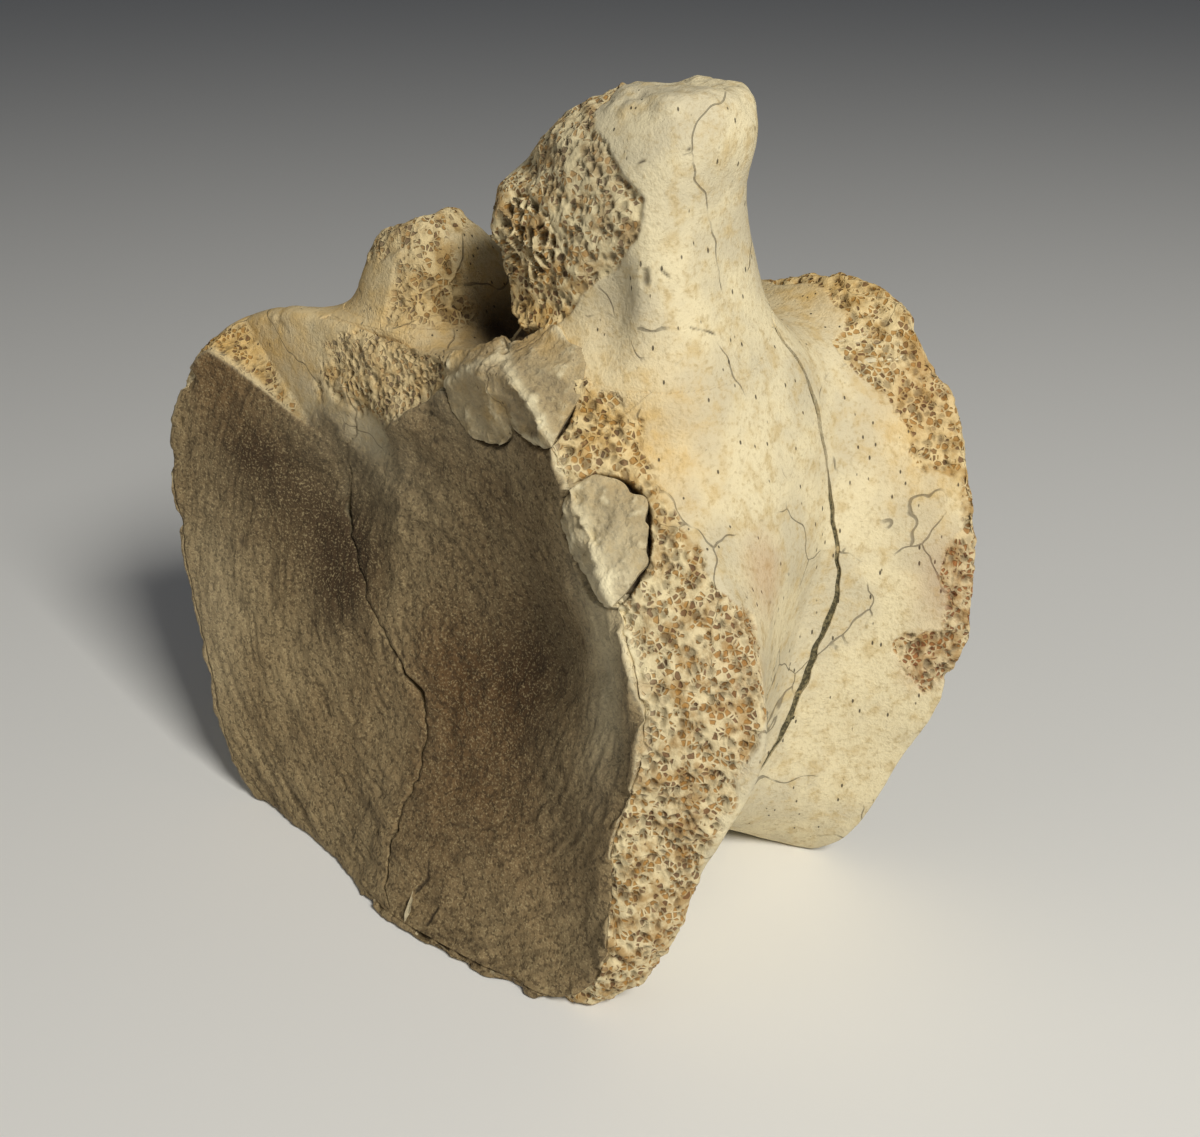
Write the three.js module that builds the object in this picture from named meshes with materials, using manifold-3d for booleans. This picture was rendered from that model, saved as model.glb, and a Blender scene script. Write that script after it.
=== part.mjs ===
// Fossil dorsal vertebra of a duck-billed dinosaur, as found: the spool-shaped centrum with both
// dished ends, the tall broken right pedicle, the stub of the left one and the floor of the
// neural canal between them. The neural arch and its spine are missing.
//
// Millimetres. X is across the body, Y runs along the spine from the near end to the far end and
// Z is up. The floor is z = 0. The plan origin is the middle of the bounding box.
import * as THREE from 'three';
import { mergeVertices } from 'three/addons/utils/BufferGeometryUtils.js';
import Module from 'manifold-3d';

const wasm = await Module();
wasm.setup();

// Centrum: the axis of the spool, its length at LEVEL_Z, and how far its ends lean back.
const AXIS_Z = 52;
const LEVEL_Z = 60;
const LENGTH = 68;
const FRONT_LEAN = 0.20;
const REAR_LEAN = 0.12;

// The near rim bows back towards its sides, more so at the lip that rests on the floor.
const BOW_X = 16;
const BOW = 0.0007;
const LIP_BOW = 0.0062;
const LIP_REACH = 45;
const LIP_HEIGHT = 15;

// Radii from the axis at even angles, from the right side (+X) round over the top.
const FACE_EDGE = [52, 47, 46.5, 51, 52, 57, 62, 73, 70, 67, 72, 62, 52.5, 58, 66, 53];
const FRONT_RIM = [68, 60, 54, 51, 46, 47, 63, 77.5, 69.5, 64, 69.5, 64, 54, 59, 70, 65];
const WAIST = [50.5, 56, 60, 50, 41.5, 47, 56, 54, 50, 51, 55, 51, 46, 51, 57, 52];
const REAR_RIM = [73.5, 73.5, 74, 54.5, 46, 51, 68, 71, 70, 67, 66, 59, 54, 58, 71.5, 69.5];

// How steeply the broken band outside the face edge falls back, at the same angles.
const BAND_SLOPE = [0.6, 0.75, 1.2, 1.5, 1.5, 1.5, 1.5, 1.5, 2, 2, 2, 2, 2, 1.5, 1.0, 0.85];

// Where the rims and the waist lie, as shares of the length.
const FRONT_SHARE = 0.14;
const WAIST_SHARE = 0.66;
const REAR_SHARE = 0.93;

// The side flares from the waist to either rim as these powers of the distance.
const FRONT_FLARE = 1.6;
const REAR_FLARE = 1.5;

// Hollows of the two dished ends: depth in the middle, and two deeper dimples in the near one.
const FRONT_DISH = 12;
const REAR_DISH = 10;
const REAR_EDGE = 0.965;
const REAR_BEVEL = 0.7;
const DIMPLES = [
  { x: -30, z: 62, width: 13, depth: 4.0 },
  { x: 22, z: 52, width: 15, depth: 4.5 },
];

// The break that took the top of the near rim: a wedge standing on its notch.
// Its two walls rise from there at these angles, in degrees from level.
const NOTCH = { x: -28, z: 66, depth: 10, fall: 0.12, edge: 5, left: 36, right: 39.6, round: 5 };

// Pedicles: limits of the section by height, the exponent of its outline, and the broken top.
const PEDICLE_RIGHT = {
  z: [70, 90, 97, 105, 115, 126, 135, 142],
  left: [14, 10, 9, 8, 4, 4, 14, 25],
  right: [44, 46, 46, 44, 42, 41.5, 43, 41],
  front: [26, 20, 16, 16, 16, 17, 20, 24],
  back: [48, 52, 54, 50, 47, 44, 43, 42],
  power: 3,
  top: (x, y) => 141.5 + 0.03 * (x - 30) - 0.02 * (y - 30),
  blend: 13,
};
const PEDICLE_LEFT = {
  z: [70, 90, 97, 105, 112, 118, 122],
  left: [-38, -40, -36, -31, -27, -24.5, -22],
  right: [-8, -5, -4, -7, -11, -16, -18],
  front: [24, 18, 17, 18, 20, 22, 24],
  back: [50, 52, 50, 44, 38, 32, 28],
  power: 2.6,
  top: (x) => 114.5 + 0.5 * (x + 21),
  blend: 7,
};
const PEDICLE_ROOT = 72;

// The crack right through the centrum, filled on the real bone, and the gap kept at every joint.
const CRACK = { y: 49.5, z: 67, bend: 0.0048, wave: 0.6, pitch: 17 };
const GAP = 0.3;

// The joint under the pedicles dips between the near rim and the far rim.
const SEAT = { z: 98.5, frontRise: 8, frontY: 15, frontRun: 7, rearRise: 10, rearY: 30, rearRun: 24 };

// Two loose plates of the near rim, as outlines seen from the front, and how thick they are.
const FLAKE_UPPER = {
  outline: [[1, 90], [6, 86], [17, 90], [28, 90.5], [29, 96], [14, 104], [0, 101]],
  depth: 6,
};
const FLAKE_SIDE = {
  outline: [[31, 85], [34, 71], [43, 69], [46, 76], [42, 87], [35, 92]],
  depth: 5,
};
const CORNER_GROWTH = 1.3;

// How widely edges are rounded: the face's edge, both rims, the rear dish and the pedicles' ends.
const FACE_ROUND = 1.5;
const RIM_ROUND = 2;
const REAR_RIM_ROUND = 3;
const REAR_ROUND = 2;
const TOP_ROUND = 2.5;
const ROOT_ROUND = 6;

// Middle of the bounding box in plan, which becomes the origin.
const ORIGIN = { x: -0.1, y: 30.46 };

// Steps of the surface grids: round the spool and along its parts, and round and up a pedicle.
const AROUND = 88;
const ROWS = { face: 9, band: 3, side: 13, rear: 7 };
const STUB_ROWS = 13;
const STUB_AROUND = 32;
const FOLD_ROWS = 5;

// Lengths past which a ray can't meet the bone, and how near a rim the side's first and last rows lie.
const SPOOL_REACH = 100;
const PEDICLE_REACH = 60;
const FOOT_REACH = 27;
const SIDE_MARGIN = 0.03;
const RIM_INSET = 0.995;

// The pedicles' grids start this far below the seat, and fold over this far below the top.
const FOOT_DEPTH = 9;
const SHOULDER_DEPTH = 9;
const SEAT_OVERLAP = 4;
const FOOT_HEIGHT = 8;

// Cutting blocks reach this far out of the bone.
const FAR_OUT = 240;

const clamp = (v, lo, hi) => Math.min(Math.max(v, lo), hi);
const ease = (v) => {
  const t = clamp(v, 0, 1);
  return t * t * (3 - 2 * t);
};

// Smooth smaller and larger of two values, rounded over a width k.
function smoothMin(a, b, k) {
  const h = clamp(0.5 + (0.5 * (b - a)) / k, 0, 1);
  return b + (a - b) * h - k * h * (1 - h);
}
const smoothMax = (a, b, k) => -smoothMin(-a, -b, k);

// A closed smooth curve through radii given at even angles.
function ring(radii, angle) {
  const n = radii.length;
  const t = (((angle / (2 * Math.PI)) * n) % n + n) % n;
  const i = Math.floor(t);
  const f = t - i;
  const [a, b, c, d] = [-1, 0, 1, 2].map((k) => radii[(i + k + n) % n]);
  return 0.5 * (2 * b + (c - a) * f + (2 * a - 5 * b + 4 * c - d) * f ** 2 + (3 * b - a - 3 * c + d) * f ** 3);
}

// A smooth open curve through values at given keys.
function curve(keys, values, at) {
  const last = keys.length - 1;
  const t = clamp(at, keys[0], keys[last]);
  const i = clamp(keys.findIndex((k) => k > t) - 1, 0, last - 1);
  const j = t >= keys[last] ? last - 1 : i;
  const slope = (k) => {
    if (k === 0) return (values[1] - values[0]) / (keys[1] - keys[0]);
    if (k === last) return (values[last] - values[last - 1]) / (keys[last] - keys[last - 1]);
    const before = keys[k] - keys[k - 1];
    const after = keys[k + 1] - keys[k];
    const rise = (values[k + 1] - values[k]) / after;
    const fall = (values[k] - values[k - 1]) / before;
    return (rise * before + fall * after) / (before + after);
  };
  const h = keys[j + 1] - keys[j];
  const f = (t - keys[j]) / h;
  return values[j] * (1 + 2 * f) * (1 - f) ** 2 + slope(j) * h * f * (1 - f) ** 2
    + values[j + 1] * f * f * (3 - 2 * f) + slope(j + 1) * h * f * f * (f - 1);
}

// The surfaces that the near and the far rim lie on.
function frontY(x, z) {
  const square = (x - BOW_X) ** 2;
  const lip = LIP_BOW * Math.exp(-Math.max(z, 0) / LIP_HEIGHT) / (1 + square / LIP_REACH ** 2);
  return FRONT_LEAN * (z - LEVEL_Z) + (BOW + lip) * square;
}
const rearY = (z) => LENGTH + REAR_LEAN * (z - LEVEL_Z);

// Radius of the spool's side at an angle, and a share of its length from the near rim.
function sideRadius(angle, share) {
  const near = clamp((WAIST_SHARE - share) / (WAIST_SHARE - FRONT_SHARE), 0, 1) ** FRONT_FLARE;
  const far = clamp((share - WAIST_SHARE) / (REAR_SHARE - WAIST_SHARE), 0, 1) ** REAR_FLARE;
  const waist = ring(WAIST, angle);
  return waist + (ring(FRONT_RIM, angle) - waist) * near + (ring(REAR_RIM, angle) - waist) * far;
}

// How far the dish, and then the broken band, lie behind the near rim's surface.
function dishDepth(x, z) {
  const angle = Math.atan2(z - AXIS_Z, x);
  const share = Math.hypot(x, z - AXIS_Z) / ring(FACE_EDGE, angle);
  let depth = FRONT_DISH * clamp(1 - share ** 2, 0, 1) ** 0.9;
  for (const d of DIMPLES) {
    const reach = ((x - d.x) ** 2 + (z - d.z) ** 2) / d.width ** 2;
    depth += d.depth * Math.exp(-reach) * clamp(1 - share ** 4, 0, 1);
  }
  return depth;
}
function breakDepth(x, z) {
  const angle = Math.atan2(z - AXIS_Z, x);
  const band = ring(BAND_SLOPE, angle) * (Math.hypot(x, z - AXIS_Z) - ring(FACE_EDGE, angle));
  const above = (slope) => Math.sin(slope) * (x - NOTCH.x) + Math.cos(slope) * (z - NOTCH.z);
  const left = above((NOTCH.left * Math.PI) / 180);
  const right = above((-NOTCH.right * Math.PI) / 180);
  const inside = smoothMin(left, right, NOTCH.round) + 1;
  const wedge = (NOTCH.depth - NOTCH.fall * (z - NOTCH.z)) * clamp(inside / NOTCH.edge, -3, 1);
  return smoothMax(band, wedge, 1);
}
const frontDepth = (x, z) => smoothMax(dishDepth(x, z), breakDepth(x, z), FACE_ROUND);
function rearDepth(x, z) {
  const edge = ring(REAR_RIM, Math.atan2(z - AXIS_Z, x)) * REAR_EDGE;
  const rho = Math.hypot(x, z - AXIS_Z);
  return smoothMax(REAR_DISH * clamp(1 - (rho / edge) ** 2, 0, 1), REAR_BEVEL * (rho - edge), REAR_ROUND);
}

// Fields that are below zero inside the bone: the centrum, one pedicle, and all of it blended.
function centrumField(x, y, z) {
  const near = frontY(x, z);
  const far = rearY(z);
  const share = (y - near) / (far - near);
  const side = (Math.hypot(x, z - AXIS_Z) - sideRadius(Math.atan2(z - AXIS_Z, x), share)) * 0.9;
  const face = (near + frontDepth(x, z) - y) * 0.8;
  const back = (y - far + rearDepth(x, z)) * 0.9;
  return smoothMax(smoothMax(side, face, RIM_ROUND), back, REAR_RIM_ROUND);
}
function pedicleField(p, x, y, z) {
  const [left, right, front, back] = ['left', 'right', 'front', 'back'].map((k) => curve(p.z, p[k], z));
  const halfX = (right - left) / 2;
  const halfY = (back - front) / 2;
  const acrossX = Math.abs((x - (left + right) / 2) / halfX) ** p.power;
  const acrossY = Math.abs((y - (front + back) / 2) / halfY) ** p.power;
  const side = ((acrossX + acrossY) ** (1 / p.power) - 1) * Math.min(halfX, halfY);
  return smoothMax(smoothMax(side, z - p.top(x, y), TOP_ROUND), PEDICLE_ROOT - z, ROOT_ROUND);
}
function boneField(x, y, z) {
  const right = smoothMin(centrumField(x, y, z), pedicleField(PEDICLE_RIGHT, x, y, z), PEDICLE_RIGHT.blend);
  return smoothMin(right, pedicleField(PEDICLE_LEFT, x, y, z), PEDICLE_LEFT.blend);
}

// First crossing into a field from outside, coming back along a ray from the end of its reach.
function inward(field, from, along, reach) {
  const value = (t) => field(from.x + along.x * t, from.y + along.y * t, from.z + along.z * t);
  const step = reach / 140;
  let low = reach - step;
  while (low > 0 && value(low) > 0) low -= step;
  let high = low + step;
  for (let i = 0; i < 16; i += 1) {
    const middle = (low + high) / 2;
    if (value(middle) < 0) low = middle;
    else high = middle;
  }
  return from.clone().addScaledVector(along, low);
}

// First crossing out of a field from a point inside it, along a direction, no further than reach.
function outward(field, from, along, reach) {
  const value = (t) => field(from.x + along.x * t, from.y + along.y * t, from.z + along.z * t);
  const step = reach / 60;
  let high = step;
  while (high < reach && value(high) < 0) high += step;
  let low = high - step;
  for (let i = 0; i < 16; i += 1) {
    const middle = (low + high) / 2;
    if (value(middle) < 0) low = middle;
    else high = middle;
  }
  return from.clone().addScaledVector(along, Math.min(low, reach));
}

// A closed body: a sphere's grid whose rows and columns are placed by a function.
function wrap(rows, around, place) {
  const geometry = new THREE.SphereGeometry(1, around, rows);
  const points = geometry.attributes.position;
  for (let i = 0; i <= rows; i += 1) {
    for (let j = 0; j <= around; j += 1) {
      const column = i === 0 || i === rows ? 0 : j % around;
      const p = place(i, (column / around) * 2 * Math.PI);
      points.setXYZ(i * (around + 1) + j, p.x, p.y, p.z);
    }
  }
  return solidOf(geometry);
}

function solidOf(geometry) {
  const bare = geometry.index ? geometry.clone() : mergeVertices(geometry);
  bare.deleteAttribute('normal');
  bare.deleteAttribute('uv');
  const merged = mergeVertices(bare, 1e-4);
  const mesh = new wasm.Mesh({
    numProp: 3,
    vertProperties: new Float32Array(merged.attributes.position.array),
    triVerts: new Uint32Array(merged.index.array),
  });
  return new wasm.Manifold(mesh);
}

// Largest of the separate bodies that a cut leaves.
function largest(solid) {
  return solid.decompose().sort((a, b) => b.volume() - a.volume())[0];
}

// Radius at which a test first turns positive going out from the axis at one angle.
function radiusWhere(angle, test, reach) {
  let low = 0;
  let high = reach;
  for (let i = 0; i < 24; i += 1) {
    const middle = (low + high) / 2;
    if (test(middle * Math.cos(angle), AXIS_Z + middle * Math.sin(angle), middle) < 0) low = middle;
    else high = middle;
  }
  return low;
}

// The joint surface under the pedicles, and the crack through the centrum.
const seatZ = (y) => SEAT.z + SEAT.frontRise * ease((SEAT.frontY - y) / SEAT.frontRun)
  + SEAT.rearRise * ease((y - SEAT.rearY) / SEAT.rearRun);
const crackY = (x, z) => CRACK.y - CRACK.bend * (z - CRACK.z) ** 2
  + CRACK.wave * Math.sin((z * Math.PI + x) / CRACK.pitch);

function makeCentrum() {
  const faceEnd = ROWS.face;
  const bandEnd = faceEnd + ROWS.band;
  const sideEnd = bandEnd + ROWS.side;
  const last = sideEnd + ROWS.rear;
  const cache = new Map();
  const limits = (angle) => {
    if (!cache.has(angle)) {
      const rim = radiusWhere(angle, (x, z, rho) => {
        const share = frontDepth(x, z) / (rearY(z) - frontY(x, z));
        return rho - sideRadius(angle, share);
      }, SPOOL_REACH);
      const rear = radiusWhere(angle, (x, z, rho) => {
        const length = rearY(z) - frontY(x, z);
        return rho - sideRadius(angle, 1 - rearDepth(x, z) / length);
      }, SPOOL_REACH);
      cache.set(angle, { face: Math.min(ring(FACE_EDGE, angle), rim * 0.97), rim, rear });
    }
    return cache.get(angle);
  };
  const nearPoint = (angle, rho) => {
    const x = rho * Math.cos(angle);
    const z = AXIS_Z + rho * Math.sin(angle);
    return new THREE.Vector3(x, frontY(x, z) + frontDepth(x, z), z);
  };
  const farPoint = (angle, rho) => {
    const x = rho * Math.cos(angle);
    const z = AXIS_Z + rho * Math.sin(angle);
    return new THREE.Vector3(x, rearY(z) - rearDepth(x, z), z);
  };
  const solid = wrap(last, AROUND, (row, angle) => {
    const edge = limits(angle);
    if (row <= faceEnd) return nearPoint(angle, (edge.face * row) / faceEnd);
    if (row <= bandEnd) {
      const part = (row - faceEnd) / ROWS.band;
      return nearPoint(angle, edge.face + (edge.rim * RIM_INSET - edge.face) * part);
    }
    if (row < sideEnd) {
      const part = (row - bandEnd) / ROWS.side;
      const near = nearPoint(angle, edge.rim);
      const far = farPoint(angle, edge.rear);
      const y = near.y + (far.y - near.y) * (part * (1 - 2 * SIDE_MARGIN) + SIDE_MARGIN);
      const along = new THREE.Vector3(Math.cos(angle), 0, Math.sin(angle));
      const from = new THREE.Vector3(0, y, AXIS_Z);
      const below = (px, py, pz) => Math.max(boneField(px, py, pz), pz - seatZ(py) - SEAT_OVERLAP);
      return inward(below, from, along, SPOOL_REACH);
    }
    return farPoint(angle, (edge.rear * RIM_INSET * (last - row)) / ROWS.rear);
  });
  return solid;
}

// A pedicle as a capsule grid: rows climb its axis, then fold over its broken top.
function makePedicle(p) {
  const middle = (z) => new THREE.Vector3(
    (curve(p.z, p.left, z) + curve(p.z, p.right, z)) / 2,
    (curve(p.z, p.front, z) + curve(p.z, p.back, z)) / 2,
    z,
  );
  const top = p.top(middle(110).x, middle(110).y);
  const foot = SEAT.z - FOOT_DEPTH;
  const shoulder = top - SHOULDER_DEPTH;
  const reachAt = (z) => (z < SEAT.z + FOOT_HEIGHT ? FOOT_REACH : PEDICLE_REACH);
  return wrap(STUB_ROWS, STUB_AROUND, (row, angle) => {
    if (row === STUB_ROWS) return middle(foot);
    const tilt = clamp(1 - row / FOLD_ROWS, 0, 1) * (Math.PI / 2);
    const climb = clamp((row - FOLD_ROWS) / (STUB_ROWS - 1 - FOLD_ROWS), 0, 1);
    const from = middle(shoulder + (foot - shoulder) * climb);
    const along = new THREE.Vector3(
      Math.cos(angle) * Math.cos(tilt),
      Math.sin(angle) * Math.cos(tilt),
      Math.sin(tilt),
    );
    return outward(boneField, from, along, reachAt(from.z));
  });
}

// Cutting bodies: everything above the seat, behind the crack, or below the floor.
function blockAbove(offset) {
  const block = new THREE.BoxGeometry(FAR_OUT, FAR_OUT, 1, 1, 60, 1);
  block.translate(0, ORIGIN.y, 0);
  const points = block.attributes.position;
  for (let i = 0; i < points.count; i += 1) {
    if (points.getZ(i) < 0) points.setZ(i, seatZ(points.getY(i)) + offset);
    else points.setZ(i, FAR_OUT);
  }
  return solidOf(block);
}
function blockBehind(offset) {
  const block = new THREE.BoxGeometry(FAR_OUT, 1, FAR_OUT, 16, 1, 40);
  block.translate(0, 0, LEVEL_Z);
  const points = block.attributes.position;
  for (let i = 0; i < points.count; i += 1) {
    if (points.getY(i) < 0) points.setY(i, crackY(points.getX(i), points.getZ(i)) + offset);
    else points.setY(i, FAR_OUT);
  }
  return solidOf(block);
}
function floorBlock() {
  const block = new THREE.BoxGeometry(FAR_OUT, FAR_OUT, FAR_OUT);
  block.translate(0, ORIGIN.y, -FAR_OUT / 2);
  return solidOf(block);
}

// A flake is cut out of the near rim by its outline, grown by half the gap for the pocket.
function flakeBlock(flake, grow) {
  const sum = flake.outline.reduce((s, p) => [s[0] + p[0], s[1] + p[1]], [0, 0]);
  const middle = sum.map((v) => v / flake.outline.length);
  const shape = new THREE.Shape(flake.outline.map(([x, z]) => {
    const away = new THREE.Vector2(x - middle[0], z - middle[1]);
    return away.setLength(away.length() + grow * CORNER_GROWTH).add(new THREE.Vector2(...middle));
  }));
  const block = new THREE.ExtrudeGeometry(shape, { depth: 1, bevelEnabled: false, steps: 1 });
  block.rotateX(Math.PI / 2);
  const points = block.attributes.position;
  for (let i = 0; i < points.count; i += 1) {
    const lean = FRONT_LEAN * (points.getZ(i) - middle[1]);
    const deep = frontY(...middle) + lean + frontDepth(...middle) + flake.depth + grow;
    points.setY(i, points.getY(i) > -0.5 ? deep : -FAR_OUT);
  }
  return solidOf(block);
}

const bone = makeCentrum().add(makePedicle(PEDICLE_RIGHT)).add(makePedicle(PEDICLE_LEFT)).subtract(floorBlock());
const aboveSeat = bone.intersect(blockAbove(GAP / 2)).decompose().sort((a, b) => b.volume() - a.volume());
const isRight = (solid) => solid.boundingBox().max[0] > 20;
const pedicleRight = aboveSeat.find(isRight);
const pedicleLeft = aboveSeat.find((solid) => !isRight(solid));
const centrum = largest(bone.subtract(blockAbove(-GAP / 2)));
const centrumRear = largest(centrum.intersect(blockBehind(GAP / 2)));
const flakeUpper = largest(centrum.intersect(flakeBlock(FLAKE_UPPER, 0)));
const flakeSide = largest(centrum.intersect(flakeBlock(FLAKE_SIDE, 0)));
const centrumFront = largest(centrum.subtract(blockBehind(-GAP / 2))
  .subtract(flakeBlock(FLAKE_UPPER, GAP))
  .subtract(flakeBlock(FLAKE_SIDE, GAP)));

// Finishes: weathered bone in the tones of its cortex, dished faces and broken spongy rims.
function finish(name, color, roughness) {
  return new THREE.MeshStandardMaterial({ name, color, roughness, metalness: 0 });
}
const cortex = finish('cortical_bone', 0xd8cba6, 0.72);
const rear = finish('cortical_bone', 0xd2c7a8, 0.74);
const spongy = finish('spongy_bone', 0xb98f56, 0.85);
const plate = finish('face_plate', 0x9c8763, 0.8);

const group = new THREE.Group();
function addNode(name, solid, material) {
  const mesh = solid.getMesh();
  const stride = mesh.numProp;
  const count = mesh.vertProperties.length / stride;
  const positions = new Float32Array(count * 3);
  for (let i = 0; i < count; i += 1) {
    for (let k = 0; k < 3; k += 1) positions[i * 3 + k] = mesh.vertProperties[i * stride + k];
  }
  const geometry = new THREE.BufferGeometry();
  geometry.setAttribute('position', new THREE.BufferAttribute(positions, 3));
  geometry.setIndex(Array.from(mesh.triVerts));
  const node = new THREE.Mesh(geometry, material);
  node.name = name;
  group.add(node);
}
addNode('centrum_front', centrumFront, cortex);
addNode('centrum_rear', centrumRear, rear);
addNode('pedicle_right', pedicleRight, cortex);
addNode('pedicle_left', pedicleLeft, spongy);
addNode('rim_flake_upper', flakeUpper, plate);
addNode('rim_flake_side', flakeSide, plate);
group.position.set(-ORIGIN.x, -ORIGIN.y, 0);

export default group;
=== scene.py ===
"""Looks of a fossil duck-billed dinosaur vertebra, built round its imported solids.

The bone is one smooth implicit form: a spool for the centrum, with two pedicles blended into it. Each
piece is a grid of rays that meet this form, pushed in and out by the relief of cortex, broken spongy bone
and the crust of the dished face. Shapes are worked out in millimetres in the bone's own axes, with X
across the body, Y along the spine from the near end and Z up, and are written in metres about the middle
of the bounding box.
"""

import math
from concurrent.futures import ThreadPoolExecutor

import bpy
import numpy as np
from mathutils import Matrix, Vector


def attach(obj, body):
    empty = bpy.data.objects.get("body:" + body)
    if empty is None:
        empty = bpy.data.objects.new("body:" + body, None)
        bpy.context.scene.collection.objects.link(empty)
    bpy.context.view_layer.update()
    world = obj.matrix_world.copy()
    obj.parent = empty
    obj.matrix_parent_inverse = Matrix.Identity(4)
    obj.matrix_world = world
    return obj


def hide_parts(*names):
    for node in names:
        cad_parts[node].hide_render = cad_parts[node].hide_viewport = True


bl_info = {
    "name": "Fossil vertebra",
    "version": (1, 0, 0),
    "blender": (4, 5, 0),
    "location": "View3D > Sidebar > Fossil",
    "description": "A weathered fossil vertebra with dished ends, a broken spongy rim and filled cracks",
    "category": "Mesh",
}

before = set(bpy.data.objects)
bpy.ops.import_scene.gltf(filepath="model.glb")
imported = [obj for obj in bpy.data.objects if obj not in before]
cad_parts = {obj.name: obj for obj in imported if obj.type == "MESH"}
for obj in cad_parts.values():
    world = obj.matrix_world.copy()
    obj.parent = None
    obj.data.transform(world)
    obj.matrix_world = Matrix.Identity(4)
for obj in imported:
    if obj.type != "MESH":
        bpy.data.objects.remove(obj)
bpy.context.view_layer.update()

TAU = 2 * math.pi
METRES = 0.001

# Middle of the bounding box in the bone's own axes, in plan, which is the origin of the frame.
ORIGIN = np.array([-0.1, 30.46, 0.0])

# Centrum: the axis of the spool, its length at LEVEL_Z, and how far its ends lean back.
AXIS_Z = 52.0
LEVEL_Z = 60.0
LENGTH = 68.0
FRONT_LEAN = 0.20
REAR_LEAN = 0.12

# The near rim bows back towards its sides, more so at the lip that rests on the floor.
BOW_X = 16.0
BOW = 0.0007
LIP_BOW = 0.0062
LIP_REACH = 45.0
LIP_HEIGHT = 15.0

# Radii from the axis at even angles, from the right side (+X) round over the top.
FACE_EDGE = [52, 47, 46.5, 51, 52, 57, 62, 73, 70, 67, 72, 62, 52.5, 58, 66, 53]
FRONT_RIM = [68, 60, 54, 51, 46, 47, 63, 77.5, 69.5, 64, 69.5, 64, 54, 59, 70, 65]
WAIST = [50.5, 56, 60, 50, 41.5, 47, 56, 54, 50, 51, 55, 51, 46, 51, 57, 52]
REAR_RIM = [73.5, 73.5, 74, 54.5, 46, 51, 68, 71, 70, 67, 66, 59, 54, 58, 71.5, 69.5]

# How steeply the broken band outside the face edge falls back, at the same angles.
BAND_SLOPE = [0.6, 0.75, 1.2, 1.5, 1.5, 1.5, 1.5, 1.5, 2, 2, 2, 2, 2, 1.5, 1.0, 0.85]

# Where the rims and the waist lie, as shares of the length.
FRONT_SHARE = 0.14
WAIST_SHARE = 0.66
REAR_SHARE = 0.93

# Hollows of the dished ends: depth in the middle, and dimples of the near one as x, z, width, depth.
FRONT_DISH = 12.0
REAR_DISH = 10.0
REAR_EDGE = 0.965
BOWL_POWER = 0.9
DIMPLES = [(-30, 62, 13, 4.0), (22, 52, 15, 4.5)]

# Powers by which the side rises from the waist to either rim.
FRONT_FLARE = 1.6
REAR_FLARE = 1.5

# How widely the surfaces are rounded where they meet.
BREAK_ROUND = 1.5
FACE_ROUND = 2.0
REAR_ROUND = 3.0
SEAT_ROUND = 0.8
TOP_ROUND = 2.5
ROOT_ROUND = 6.0

# Turns the rise of a slanting surface into about its distance in millimetres.
SIDE_SCALE = 0.9
FACE_SCALE = 0.8
REAR_BEVEL = 0.7

# The break that took the top of the near rim: a wedge standing on its notch.
NOTCH_X = -28.0
NOTCH_Z = 66.0
NOTCH_DEPTH = 10.0
NOTCH_FALL = 0.12
NOTCH_EDGE = 5.0
NOTCH_LEFT = math.radians(36.0)
NOTCH_RIGHT = math.radians(-39.6)

# Pedicles: limits of the section by height, the power of its outline, and how the broken top slopes.
PEDICLE_RIGHT = {
    "z": [70, 90, 97, 105, 115, 126, 135, 142],
    "left": [14, 10, 9, 8, 4, 4, 14, 25],
    "right": [44, 46, 46, 44, 42, 41.5, 43, 41],
    "front": [26, 20, 16, 16, 16, 17, 20, 24],
    "back": [48, 52, 54, 50, 47, 44, 43, 42],
    "power": 3.0,
    "top": (141.2, 0.03, -0.02),
    "blend": 13.0,
}
PEDICLE_LEFT = {
    "z": [70, 90, 97, 105, 112, 118, 122],
    "left": [-38, -40, -36, -31, -27, -24.5, -22],
    "right": [-8, -5, -4, -7, -11, -16, -18],
    "front": [24, 18, 17, 18, 20, 22, 24],
    "back": [50, 52, 50, 44, 38, 32, 28],
    "power": 2.6,
    "top": (125.0, 0.5, 0.0),
    "blend": 7.0,
}
PEDICLE_ROOT = 72.0

# How far below their root the pedicles still swell the spool.
BLEND_REACH = 16.0

# Swells and hollows of the broken surfaces: the middle, the half sizes and the height.
FORMS = [
    ((31.5, 15, 112), (3.2, 5, 6), -4.5),
    ((11, 19, 128.5), (6, 6, 2.2), -2.0),
    ((10, 17, 120), (7, 5, 6), 1.5),
    ((24, 19, 133), (9, 5, 5), 1.2),
    ((20, 14, 108), (9, 4, 4), -1.5),
    ((-6, 22, 107), (6, 6, 7), -3.0),
    ((-22, 13, 78), (6, 4, 5), -2.0),
    ((-12, 13, 84), (5, 4, 4), 1.5),
    ((-33, 13, 66), (3, 4, 3), -3.0),
    ((56, 66, 97), (12, 7, 10), -2.5),
    ((74, 66, 62), (6, 5, 8), -2.0),
    ((70, 64, 44), (6, 5, 5), -1.5),
]

# The crack right through the centrum: y at height z, how it bends and how it wanders.
CRACK_Y = 49.5
CRACK_Z = 67.0
CRACK_BEND = 0.0048
CRACK_WAVE = 0.6
CRACK_PITCH = 17.0

# The joint under the pedicles dips between the near rim and the far rim.
SEAT_Z = 98.5
SEAT_FRONT = (15.0, 7.0, 8.0)
SEAT_REAR = (30.0, 24.0, 10.0)

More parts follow.
